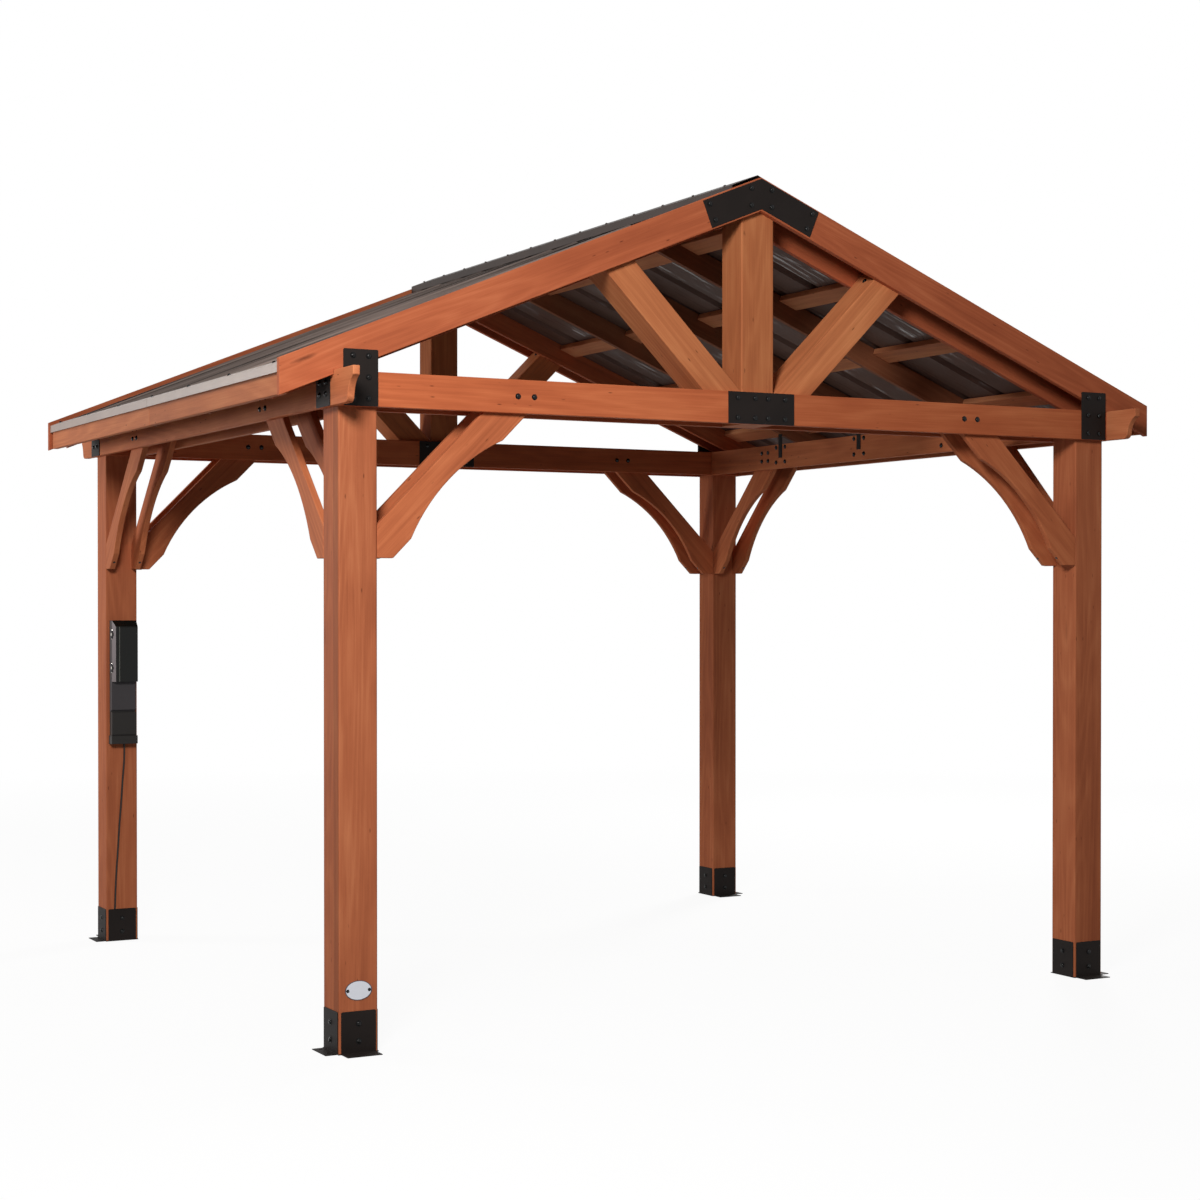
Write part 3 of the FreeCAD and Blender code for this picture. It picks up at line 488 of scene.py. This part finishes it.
def hinged_cover(name):
    """Smoked plastic with painted highlights: on its slanting side, panel edge and barrels."""
    paint = Paint(name)
    low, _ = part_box("outlet_cover")
    x, _, _ = paint.place()
    east, north, _ = paint.facing()
    # The slanting side is painted paler: a painted reflection of the light.
    slant_painted_reflection = (east * -1).between(0.75, 0.85) * (north * -1).between(0.1, 0.2)
    # The barrels are painted near white: a painted glint of the shiny hinge pins.
    barrel_painted_glint = 1 - x.between(low.x + 0.003, low.x + 0.0035)
    # A thin light line on the panel's edge, on front faces only: a painted highlight.
    edge_painted_highlight = 1 - (x - (low.x + PANEL_EDGE)).math("ABSOLUTE").between(0.001, 0.0018)
    front = (north * -1).between(0.85, 0.95)
    colour = paint.mix(edge_painted_highlight * front * 0.8, rgb(18, 19, 17), rgb(112, 116, 106))
    colour = paint.mix(slant_painted_reflection, colour, rgb(126, 116, 118))
    paint.set(Base_Color=paint.mix(barrel_painted_glint, colour, rgb(226, 220, 212)), Roughness=0.25,
              Specular_IOR_Level=0.2)
    return paint.material


def outlet_case(name):
    """Matte moulded plastic: the socket box under the groove is darker than the panel above it."""
    paint = Paint(name)
    x, y, z = paint.place()
    where = paint.vector(x, y, z)
    cloud = paint.noise(where, scale=CLOUDS, detail=4)
    pebble = paint.noise(where, scale=PEBBLES, detail=1)
    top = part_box("outlet_box")[0].z + SOCKET_BOX_TOP
    panel = paint.mix(cloud, rgb(52, 49, 51), rgb(62, 59, 61))
    paint.set(Base_Color=paint.mix(z.between(top - 0.001, top + 0.001), rgb(31, 28, 26), panel),
              Roughness=0.5, Specular_IOR_Level=0.25)
    return paint.bump(pebble, 0.2, 0.0004).material


FINISH["cover"] = hinged_cover("outlet_cover_gloss")
FINISH["case"] = outlet_case("outlet_case")
print("outlet finishes:", FINISH["cover"].name, FINISH["case"].name)

# %% [markdown]
# ## Pale enamel
# The small oval plate on the front left post is pale, with a dark line round its rim. The
# ellipse's own formula gives that line: across and up are 1 at the rim, so the sum of their
# squares is close to 1 there.

# %% Enamel of the oval plate
def enamel_plaque(name):
    """Pale enamel with a dark line round its oval rim."""
    paint = Paint(name)
    low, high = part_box("badge_plate")
    x, _, z = paint.place()
    across = (x - (low.x + high.x) / 2) / ((high.x - low.x) / 2)
    up = (z - (low.z + high.z) / 2) / ((high.z - low.z) / 2)
    rim = (across * across + up * up).between(0.86, 0.9)
    paint.set(Base_Color=paint.mix(rim, rgb(226, 229, 238), rgb(70, 62, 72)), Roughness=0.35)
    return paint.material


FINISH["plaque"] = enamel_plaque("pale_plaque")
print("metal and plastic finishes:", len(FINISH))

# %% [markdown]
# ## Eased edges
# Sawn boards never have knife edges: each one is rounded by a few millimetres and catches a
# line of light. A Bevel modifier can't work on the loose triangles of a node, so they are
# merged into flat faces first, on a copy. Every separate board in the copy gets a number of
# its own, which its finish reads.

# %% Helpers that ease a node
MERGE_GAP, FLAT_ANGLE, SHARP_ANGLE = 1e-5, math.radians(1.5), math.radians(25)


def mark_boards(form, seed):
    """Gives the faces of each separate board one number from 0 to 1, for its tone and grain."""
    layer = form.faces.layers.float.new("board")
    chance = random.Random(seed)
    left = set(form.faces)
    for first in form.faces:
        if first not in left:
            continue
        left.discard(first)
        reached, number = [first], chance.random()
        while reached:
            face = reached.pop()
            face[layer] = number
            face.smooth = False
            face.material_index = 0
            near = {other for edge in face.edges for other in edge.link_faces} & left
            left -= near
            reached.extend(near)


def eased(name, material, width, segments=2, body=BODY):
    """A copy of a node with merged faces and rounded edges, which stands for the node."""
    mesh = nodes[name].data.copy()
    mesh.name = name + "_eased"
    form = bmesh.new()
    form.from_mesh(mesh)
    bmesh.ops.remove_doubles(form, verts=form.verts, dist=MERGE_GAP)
    bmesh.ops.dissolve_limit(form, angle_limit=FLAT_ANGLE, verts=form.verts, edges=form.edges)
    sharp = [edge for edge in form.edges
             if len(edge.link_faces) == 2 and edge.calc_face_angle() > SHARP_ANGLE]
    bmesh.ops.bevel(form, geom=sharp, offset=width, segments=segments, profile=0.5, affect="EDGES",
                    clamp_overlap=True)
    bmesh.ops.recalc_face_normals(form, faces=form.faces)
    mark_boards(form, name)
    form.to_mesh(mesh)
    form.free()
    mesh.materials.clear()
    mesh.materials.append(material)
    piece = bpy.data.objects.new(name + "_eased", mesh)
    bpy.context.scene.collection.objects.link(piece)
    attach(piece, body)
    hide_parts(name)
    return piece


print("edges sharper than", round(math.degrees(SHARP_ANGLE)), "degrees are rounded")

# %% [markdown]
# ## The boards
# Every board that has no rounding in its solid is eased by the same two and a half millimetres,
# as one pass of the same router bit would do it. A short table says which finish each node
# gets, so that a loop can do the work.

# %% Ease the boards
BOARD_EASE = 0.0025
board_finish = {}
for end in ("front", "back"):
    board_finish["chord_" + end] = "beam_x"
    board_finish["gable_rafters_" + end] = "rafter"
    board_finish["webs_" + end] = "web"
    board_finish["braces_" + end] = "brace_x"
for side in ("left", "right"):
    board_finish["header_" + side] = "beam_y"
    board_finish["braces_" + side] = "brace_y"
    board_finish["purlins_" + side] = "purlin"
    board_finish["fascia_" + side] = "fascia"
for place in ("front", "middle", "back"):
    board_finish["rafter_pair_" + place] = "inner_rafter"
board_finish["ridge_board"] = "beam_y"
for name, finish in board_finish.items():
    eased(name, TIMBER[finish], BOARD_EASE)
print("eased boards:", len(board_finish))

# %% [markdown]
# ## Plates, and what keeps its mesh
# Steel plate is cut sharp, so its edges are broken by little more than half a millimetre. The
# posts and king posts come with their rounding in the solid, and the sheets, cap and trims are
# too thin to ease. These keep their meshes and only get a finish.

# %% Ease the plates and finish the rest
PLATE_EASE = 0.0006
plate_nodes = [f"truss_plates_{end}" for end in ("front", "back")]
plate_nodes += [f"header_plates_{side}" for side in ("left", "right")]
plate_nodes += [f"foot_bracket_{end}_{side}" for end in ("front", "back") for side in ("left", "right")]
for name in plate_nodes:
    eased(name, FINISH["plate"], PLATE_EASE, segments=1)

kept = {"ridge_cap": FINISH["cap"], "outlet_lead": FINISH["lead"], "badge_plate": FINISH["plaque"]}
for end in ("front", "back"):
    kept["king_post_" + end] = TIMBER["king"]
    for side in ("left", "right"):
        kept[f"post_{end}_{side}"] = TIMBER["post"]
for side in ("left", "right"):
    kept["roof_sheets_" + side] = FINISH["sheet"]
    kept["drip_edge_" + side] = FINISH["trim"]
for name, material in kept.items():
    for place in nodes[name].material_slots:
        place.material = material
print("eased plates:", len(plate_nodes), "nodes that keep their mesh:", len(kept))

# %% [markdown]
# ## The shape of a bolt head
# The bolts have a low dome on a washer, and the roof screws a small hexagon on one. Both are a
# short drum with something on top, and Geometry Nodes has the primitives for them: a cone cut
# short for the drums, and a ball that is flattened and sunk by half for the dome. Screw threads
# are inside the wood, so there are none.

# %% Parts of a head
WASHER_SIDES, DOME_RINGS = 12, 8
WASHER_TAPER, HEX_TAPER = 0.96, 0.97


def drum(net, radius, height, top_share, sides):
    """A short tapered drum that stands on its base."""
    return net.node("GeometryNodeMeshCone", Vertices=sides, Side_Segments=1, Radius_Top=radius * top_share,
                    Radius_Bottom=radius, Depth=height).outputs["Mesh"]


def dome(net, radius, height, sides):
    """A flattened ball, shaded smooth, whose lower half sinks into what it sits on."""
    ball = net.node("GeometryNodeMeshUVSphere", Segments=sides, Rings=DOME_RINGS, Radius=1.0)
    size = net.node("ShaderNodeCombineXYZ", X=radius, Y=radius, Z=height)
    flat = net.node("GeometryNodeTransform", Geometry=ball.outputs["Mesh"], Scale=size.outputs[0])
    return net.node("GeometryNodeSetShadeSmooth", Geometry=flat.outputs[0]).outputs[0]


def raised(net, mesh, by):
    """A mesh lifted along Z."""
    lift = net.node("ShaderNodeCombineXYZ", Z=by)
    return net.node("GeometryNodeTransform", Geometry=mesh, Translation=lift.outputs[0]).outputs[0]


print("sides of a washer:", WASHER_SIDES)

# %% [markdown]
# ## One tree for all the fasteners
# Over three hundred heads repeat two shapes. Copying them by hand would take an hour, and moving
# one row would take another. So a cloud of points carries where each head sits and which way it
# faces, and one tree puts a head on every point. Its sizes are named inputs, so the same tree
# makes large and small heads.

# %% The fastener tree
HEAD_SIZES = {"Head Radius": 0.0085, "Head Height": 0.0055, "Washer Radius": 0.0108, "Washer Height": 0.0015}


def fastener_tree(name, sides, material):
    """Puts a head on a washer at each point; sides is 6 for a hexagon, more for a dome."""
    tree = bpy.data.node_groups.new(name, "GeometryNodeTree")
    tree.interface.new_socket("Points", in_out="INPUT", socket_type="NodeSocketGeometry")
    for label, size in HEAD_SIZES.items():
        tree.interface.new_socket(label, in_out="INPUT", socket_type="NodeSocketFloat").default_value = size
    tree.interface.new_socket("Heads", in_out="OUTPUT", socket_type="NodeSocketGeometry")
    net = Network(tree)
    given = net.node("NodeGroupInput").outputs
    head_radius, head_height, washer_radius, washer_height = [Sum(net, given[label]) for label in HEAD_SIZES]

    washer = drum(net, washer_radius, washer_height, WASHER_TAPER, WASHER_SIDES)
    if sides == 6:
        head = drum(net, head_radius, head_height, HEX_TAPER, sides)
    else:
        head = dome(net, head_radius, head_height, sides)
    whole = net.node("GeometryNodeJoinGeometry", i0=washer)
    net.fill(whole.inputs[0], raised(net, head, washer_height))

    facing = net.node("GeometryNodeInputNamedAttribute", {"data_type": "FLOAT_VECTOR"}, Name="facing")
    turn = net.node("FunctionNodeAlignRotationToVector", {"axis": "Z"}, Vector=facing.outputs[0])
    spread = net.node("GeometryNodeInstanceOnPoints", Points=given["Points"], Instance=whole.outputs[0],
                      Rotation=turn.outputs[0])
    real = net.node("GeometryNodeRealizeInstances", i0=spread.outputs[0])
    coat = net.node("GeometryNodeSetMaterial", Geometry=real.outputs[0], Material=material)
    net.node("NodeGroupOutput", Heads=coat.outputs[0])
    return tree


DOME = fastener_tree("dome_bolt", 14, FINISH["bolt"])
HEX = fastener_tree("hex_screw", 6, FINISH["bolt"])
HEX_TRIM = fastener_tree("roof_screw", 6, FINISH["cap"])
print("nodes in the dome bolt's tree:", len(DOME.nodes))

# %% [markdown]
# ## From points to a plain mesh
# The tree works as a modifier on the cloud of points. A modifier's inputs are set by the
# identifiers of their sockets, before the object is first evaluated. The result is kept as a
# plain mesh, because other programs that read the model know nothing of modifiers.

# %% Run the tree on a list of places
def baked(name, points_object, tree, inputs):
    """Runs a tree on an object with the given named inputs and keeps the result as a plain mesh."""
    modifier = points_object.modifiers.new("maker", "NODES")
    modifier.node_group = tree
    for item in tree.interface.items_tree:
        if item.in_out == "INPUT" and item.name in inputs:
            modifier[item.identifier] = inputs[item.name]
    bpy.context.view_layer.update()
    depsgraph = bpy.context.evaluated_depsgraph_get()
    mesh = bpy.data.meshes.new_from_object(points_object.evaluated_get(depsgraph))
    bpy.data.objects.remove(points_object)
    mesh.name = name
    piece = bpy.data.objects.new(name, mesh)
    bpy.context.scene.collection.objects.link(piece)
    return piece


def fasteners(name, tree, places, slot, body=BODY, **sizes):
    """Heads at places, each a pair of where it sits and which way it faces."""
    mesh = bpy.data.meshes.new(name + "_points")
    mesh.from_pydata([where for where, facing in places], [], [])
    attribute = mesh.attributes.new("facing", "FLOAT_VECTOR", "POINT")
    for row, (where, facing) in zip(attribute.data, places):
        row.vector = facing
    points = bpy.data.objects.new(name + "_points", mesh)
    bpy.context.scene.collection.objects.link(points)
    named = {key.replace("_", " ").title(): size for key, size in sizes.items()}
    piece = baked(name, points, tree, named)
    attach(piece, body)
    print(f"{name}: {len(places)} heads, {len(piece.data.polygons)} faces")
    return piece


# %% [markdown]
# ## Bolts of the gables
# Each gable has six bolts in every corner plate, eight in the apex plate and eight in the
# splice plate, and two through the chord at each brace. The splice and the braces are bolted
# right through, so they show heads inside as well. Every place is worked out once for one
# corner and repeated with its sign, as a drawing of half the gable would show it.

# %% Bolts of the gables
PLATE_SPREAD = 0.028
CORNER_TOP, CORNER_ROWS = BEAM_LOW + 0.190, (0.022, 0.093, 0.164)
APEX_BOLTS = ((0.223, 2.961), (0.199, 2.904), (0.044, 3.034), (0.044, 2.971))
SPLICE_COLUMNS, SPLICE_ROW = (0.028, 0.103), 0.0365
BRACE_COLUMNS = (0.935, 0.998)

gable_bolts = []
for way in (-1, 1):
    out, inward = (0, way, 0), (0, -way, 0)
    face = way * PLATE_FACE
    for side in (-1, 1):
        for column in (-PLATE_SPREAD, PLATE_SPREAD):
            for row in CORNER_ROWS:
                gable_bolts.append(((side * POST_X + column, face, CORNER_TOP - row), out))
        for x, z in APEX_BOLTS:
            gable_bolts.append(((side * x, face, z), out))
        for x in SPLICE_COLUMNS:
            for z in (BEAM_MID - SPLICE_ROW, BEAM_MID + SPLICE_ROW):
                gable_bolts.append(((side * x, face, z), out))
                gable_bolts.append(((side * x, way * (CHORD_IN - PLATE), z), inward))
        for x in BRACE_COLUMNS:
            gable_bolts.append(((side * x, way * CHORD_OUT, BEAM_MID), out))
            gable_bolts.append(((side * x, way * CHORD_IN, BEAM_MID), inward))
fasteners("gable_bolts", DOME, gable_bolts, "plate_steel")

# %% [markdown]
# ## Bolts of the headers
# The side headers carry the rafters. Four bolts sit in each plate over a post, four more clamp
# the two boards to each brace, and four hold the foot of every inner rafter from inside. The
# places come from the posts and from the even spacing of the rafters.

# %% Bolts of the headers
HEADER_ROWS = (0.041, 0.081)
HEADER_BRACE_Y = 0.797
RAFTER_ROWS, RAFTER_SPREAD = (0.030, 0.102), 0.039
BOARD = 0.025
RAFTER_STEP = (POST_Y - POST_SIDE / 2 - BOARD / 2) / 2

header_bolts = []
for way in (-1, 1):
    out, inward = (way, 0, 0), (-way, 0, 0)
    for end in (-1, 1):
        for shift in (-PLATE_SPREAD, PLATE_SPREAD):
            for z in HEADER_ROWS:
                header_bolts.append(((way * (HEADER_OUT + PLATE), end * POST_Y + shift, BEAM_LOW + z), out))
                for reach, facing in ((HEADER_OUT, out), (HEADER_IN, inward)):
                    header_bolts.append(((way * reach, end * HEADER_BRACE_Y + shift, BEAM_LOW + z), facing))
    for step in (-1, 0, 1):
        for z in RAFTER_ROWS:
            for shift in (-RAFTER_SPREAD, RAFTER_SPREAD):
                header_bolts.append(((way * HEADER_IN, step * RAFTER_STEP + shift, BEAM_LOW + z), inward))
fasteners("header_bolts", DOME, header_bolts, "plate_steel")

# %% [markdown]
# ## Bolts of the shoes
# The four steel shoes are bolted through the posts, with two heads on every wall, one above the
# other. All the shoes are alike, so three short loops place them: over the corners of the
# plan, over the two heights, and over the two opposite walls.

# %% Bolts of the shoes
SHOE_ROWS = (0.042, 0.101)
WALL = POST_SIDE / 2 + PLATE
shoe_bolts = []
for along in (-1, 1):
    for across in (-1, 1):
        for z in SHOE_ROWS:
            for way in (-1, 1):
                shoe_bolts.append(((across * POST_X + way * WALL, along * POST_Y, z), (way, 0, 0)))
                shoe_bolts.append(((across * POST_X, along * POST_Y + way * WALL, z), (0, way, 0)))
fasteners("shoe_bolts", DOME, shoe_bolts, "bracket_steel")

# %% [markdown]
# ## Screws in the braces and the webs
# A brace ends in a foot that is sawn at 45 degrees, and a small screw goes up through that face
# into the post. The head faces down the slant, so its direction has two equal parts. Each web
# of a gable has one bolt through its upper face.

# %% Screws in the braces and bolts in the webs
BRACE_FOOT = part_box("braces_left")[0].z
FOOT_FLAT, SCREW_RISE, BRACE_OFFSET = 0.058, 0.029, 0.0575
WEB_X, WEB_RISE = 0.53, 0.46
IN_X = POST_X - POST_SIDE / 2 - FOOT_FLAT - SCREW_RISE
IN_Y = POST_Y - POST_SIDE / 2 - FOOT_FLAT - SCREW_RISE

brace_screws, web_bolts = [], []
for way in (-1, 1):
    for across in (-1, 1):
        for shift in (BRACE_OFFSET, -BRACE_OFFSET):
            z = BRACE_FOOT + SCREW_RISE
            brace_screws.append(((across * IN_X, way * (POST_Y + shift), z), (-across, 0, -1)))
            brace_screws.append(((across * (POST_X + shift), way * IN_Y, z), (0, -way, -1)))
        web_bolts.append(((across * WEB_X, way * POST_Y, BEAM_TOP + WEB_RISE), (-across, 0, 1)))
fasteners("brace_screws", DOME, brace_screws, "plate_steel", head_radius=0.0045, head_height=0.001,
          washer_radius=0.0055, washer_height=0.0006)
fasteners("web_bolts", DOME, web_bolts, "plate_steel")

# %% [markdown]
# ## Screws of the roof
# Painted hexagon screws hold the sheets to the purlins beside the ribs, the cap to the ribs
# and the drip edge to the eaves. Each one has to stand square on the slope, so a helper gives
# both the place on a sloping plane and the way out of it.

# %% Roof screws
RIBS = range(-SIDE_RIBS, SIDE_RIBS + 1)
RIB_RISE, PAINT_GAP = 0.018, 0.0016
PURLIN_RUNS, BESIDE_RIB = (0.665, 1.140, 1.615), 0.045
CAP_RUN, DRIP_INSET, DRIP_SHIFT = 0.085, 0.014, 0.02


def on_slope(side, run, height, y):
    """A place on a plane parallel to a roof slope whose ridge is at a height, and its way out."""
    return (side * run, y, height - SLOPE * run), (side * math.sin(PITCH), 0, math.cos(PITCH))


sheet_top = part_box("roof_sheets_right")[1].z - RIB_RISE * math.sqrt(1 + SLOPE ** 2) + PAINT_GAP
cap_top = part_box("ridge_cap")[1].z
drip_low, drip_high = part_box("drip_edge_right")
drip_top = drip_high.z + SLOPE * drip_low.x
sheet_screws, cap_screws, drip_screws = [], [], []
for side in (-1, 1):
    for rib in RIBS:
        for run in PURLIN_RUNS:
            sheet_screws.append(on_slope(side, run, sheet_top, rib * RIB_PITCH + BESIDE_RIB))
        cap_screws.append(on_slope(side, CAP_RUN, cap_top, rib * RIB_PITCH))
        if rib % 2 == 0:
            y = rib * RIB_PITCH + DRIP_SHIFT
            drip_screws.append(on_slope(side, drip_low.x + DRIP_INSET, drip_top, y))
roof_sizes = {"head_radius": 0.005, "head_height": 0.0045, "washer_radius": 0.008}
fasteners("sheet_screws", HEX_TRIM, sheet_screws, "roof_metal", **roof_sizes)
fasteners("cap_screws", HEX_TRIM, cap_screws, "cap_metal", **roof_sizes)
fasteners("drip_screws", HEX, drip_screws, "trim_metal", **roof_sizes)

# %% [markdown]
# ## The outlet unit
# A black weatherproof unit sits on the back left post: a deep hinged cover over the sockets, a
# plain panel below it and a smaller box with a lip where the lead leaves. The solids have the
# forms. Here their edges are rounded as moulded plastic is. The cover rides on its own body,
# so that it can swing.

# %% Ease the outlet unit
CASE_EASE, COVER_EASE = 0.0022, 0.001
eased("outlet_box", FINISH["case"], CASE_EASE, segments=3)
cover = eased("outlet_cover", FINISH["cover"], COVER_EASE, segments=2, body=COVER)
print("faces of the eased cover:", len(cover.data.polygons))

# %% [markdown]
# ## Hinge pins
# A bright pin runs through each of the cover's two hinges, and its ends show as small heads
# above and below the barrel. They stay with the post when the cover swings. The dome on a thin
# washer is the right shape already, so the fastener tree makes them from a bright material.

# %% Heads of the hinge pins
PIN_OUT, PIN_REACH, PIN_INSET, PIN_HALF = 0.055, 0.039, 0.062, 0.0193
cover_low, cover_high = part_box("outlet_cover")
pin_ends = []
for z in (cover_low.z + PIN_INSET, cover_high.z - PIN_INSET):
    for way in (-1, 1):
        place = (-POST_X - PIN_OUT, POST_Y - POST_SIDE / 2 - PIN_REACH, z + way * PIN_HALF)
        pin_ends.append((place, (0, 0, way)))
PIN = fastener_tree("pin_head", 12, FINISH["pin"])
fasteners("hinge_pin_heads", PIN, pin_ends, "outlet_plastic", head_radius=0.0034, head_height=0.002,
          washer_radius=0.0038, washer_height=0.0008)

# %% [markdown]
# ## The small oval plate
# A pale enamelled plate on the front left post is held by a dark screw at each end. Its face is
# left plain. The two screws come from the same tree as the bolts, only flatter.

# %% Screws of the oval plate
PLAQUE_SCREW_X = 0.039
plaque_low, plaque_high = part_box("badge_plate")
middle = (plaque_low + plaque_high) / 2
plaque_screws = [((middle.x + way * PLAQUE_SCREW_X, plaque_low.y, middle.z), (0, -1, 0)) for way in (-1, 1)]
fasteners("plaque_screws", DOME, plaque_screws, "badge_metal", head_radius=0.0052, head_height=0.002,
          washer_radius=0.006, washer_height=0.0006)

# %% [markdown]
# ## The studio floor
# The gazebo stands on a plain pale floor that runs on into a white background. A real studio
# floods that floor with light, which would also light the timber from below. Light Path tells
# rays apart instead: the camera and mirror-like surfaces see a floor that is nearly white and
# keeps the shadow, while the light that bounces off it is that of a grey one.

# %% Floor
def seen_directly(net):
    """1 for rays that come from the camera or from a mirror-like or clear surface, else 0."""
    path = net.node("ShaderNodeLightPath").outputs
    seen = Sum(net, path["Is Camera Ray"])
    for other in ("Is Glossy Ray", "Is Transmission Ray"):
        seen = seen.math("MAXIMUM", Sum(net, path[other]))
    return seen


FLOOR_REACH, FLOOR_DROP = 90, 0.0005
BOUNCE, SEEN = (0.24, 0.24, 0.24, 1), (0.95, 0.95, 0.95, 1)
FADE_FROM, FADE_TO, GLOW = 3.5, 11, 0.93
corners = [(way * FLOOR_REACH, along * FLOOR_REACH, -FLOOR_DROP)
           for way, along in ((-1, -1), (1, -1), (1, 1), (-1, 1))]
floor_mesh = bpy.data.meshes.new("floor")
floor_mesh.from_pydata(corners, [], [(0, 1, 2, 3)])
floor = bpy.data.objects.new("floor", floor_mesh)
bpy.context.scene.collection.objects.link(floor)

ground = Paint("studio_floor")
seen = seen_directly(ground)
x, y, _ = ground.place()
far = (x * x + y * y).math("SQRT").between(FADE_FROM, FADE_TO)
ground.set(Base_Color=ground.mix(seen, BOUNCE, SEEN), Roughness=0.9)
glow = ground.node("ShaderNodeEmission", Color=(1, 1, 1, 1), Strength=1.0)
mixed = ground.node("ShaderNodeMixShader", i0=seen * (GLOW + far * (1 - GLOW)), i1=ground.shader.outputs[0],
                    i2=glow.outputs[0])
ground.fill(ground.tree.nodes["Material Output"].inputs["Surface"], mixed.outputs[0])
floor_mesh.materials.append(ground.material)
print("floor:", 2 * FLOOR_REACH, "metres square,", FLOOR_DROP, "below the shoes")

# %% [markdown]
# ## The air of the studio
# The world is white to the camera, and lends the shaded sides only a little light. A brighter
# world would fill the shadows under the roof, which the photograph keeps deep.

# %% World
WORLD_FILL = 0.12
world = bpy.data.worlds.new("studio")
bpy.context.scene.world = world
world.use_nodes = True
air = Network(world.node_tree)
sky = world.node_tree.nodes["Background"].inputs
air.fill(sky["Strength"], WORLD_FILL + seen_directly(air) * (1 - WORLD_FILL))
air.fill(sky["Color"], (1, 1, 1, 1))
print("fill light of the world:", WORLD_FILL)

# %% [markdown]
# ## Lamps
# One soft lamp stands in front of the left corner post, so that the light falls off towards the
# right and the back. A weaker one at the back left gives the side of the roof its light. A
# third, at the back right, is for the two sides that face away. All are disks, whose size sets
# how soft the shadows are, and the camera doesn't see them.

# %% Lamps
LAMP_TINT = (1.0, 0.985, 0.97)
# Each lamp: its place, what it is pointed at, the width of its disk and its power
LAMPS = {
    "key": ((-3.9, -5.3, 3.9), (-0.9, -0.9, 1.4), 1.4, 288),
    "side": ((-4.6, 3.3, 2.2), (-1.6, 1.2, 1.5), 1.2, 76),
    "back": ((6.5, 5.2, 4.6), (1.0, 0.8, 1.6), 2.0, 380),
}
for name, (place, target, width, power) in LAMPS.items():
    data = bpy.data.lights.new(name, "AREA")
    data.shape = "DISK"
    data.size = width
    data.energy = power
    data.color = LAMP_TINT
    holder = bpy.data.objects.new(name, data)
    holder.location = place
    holder.rotation_euler = (Vector(target) - Vector(place)).to_track_quat("-Z", "Y").to_euler()
    holder.visible_camera = False
    bpy.context.scene.collection.objects.link(holder)
    print(f"{name} lamp: {(Vector(target) - Vector(place)).length:.2f} metres from its target")

# %% [markdown]
# ## The camera
# The viewing angle could be tried by eye, but the posts, beams and rafters of the photograph
# give it exactly: the camera was solved so that the model's edges fall on theirs. Its focal
# length came out in pixels of a square frame, and turns into millimetres of Blender's sensor.

# %% Camera
CAMERA_PLACE = (-4.3552, -8.2855, 1.5109)
CAMERA_TILT, CAMERA_TURN = -0.0089, -0.4964
FOCAL_PX, FRAME_PX, CENTRE_ROW = 2183.44, 1200, 622.63
camera_data = bpy.data.cameras.new("camera")
camera_data.sensor_width = 36
camera_data.lens = FOCAL_PX / FRAME_PX * camera_data.sensor_width
camera_data.shift_y = (CENTRE_ROW - FRAME_PX / 2) / FRAME_PX
camera = bpy.data.objects.new("camera", camera_data)
camera.location = CAMERA_PLACE
camera.rotation_euler = (math.pi / 2 + CAMERA_TILT, 0, CAMERA_TURN)
bpy.context.scene.collection.objects.link(camera)
bpy.context.scene.camera = camera
bpy.context.scene.view_settings.view_transform = "Standard"
print("lens", round(camera_data.lens, 2))
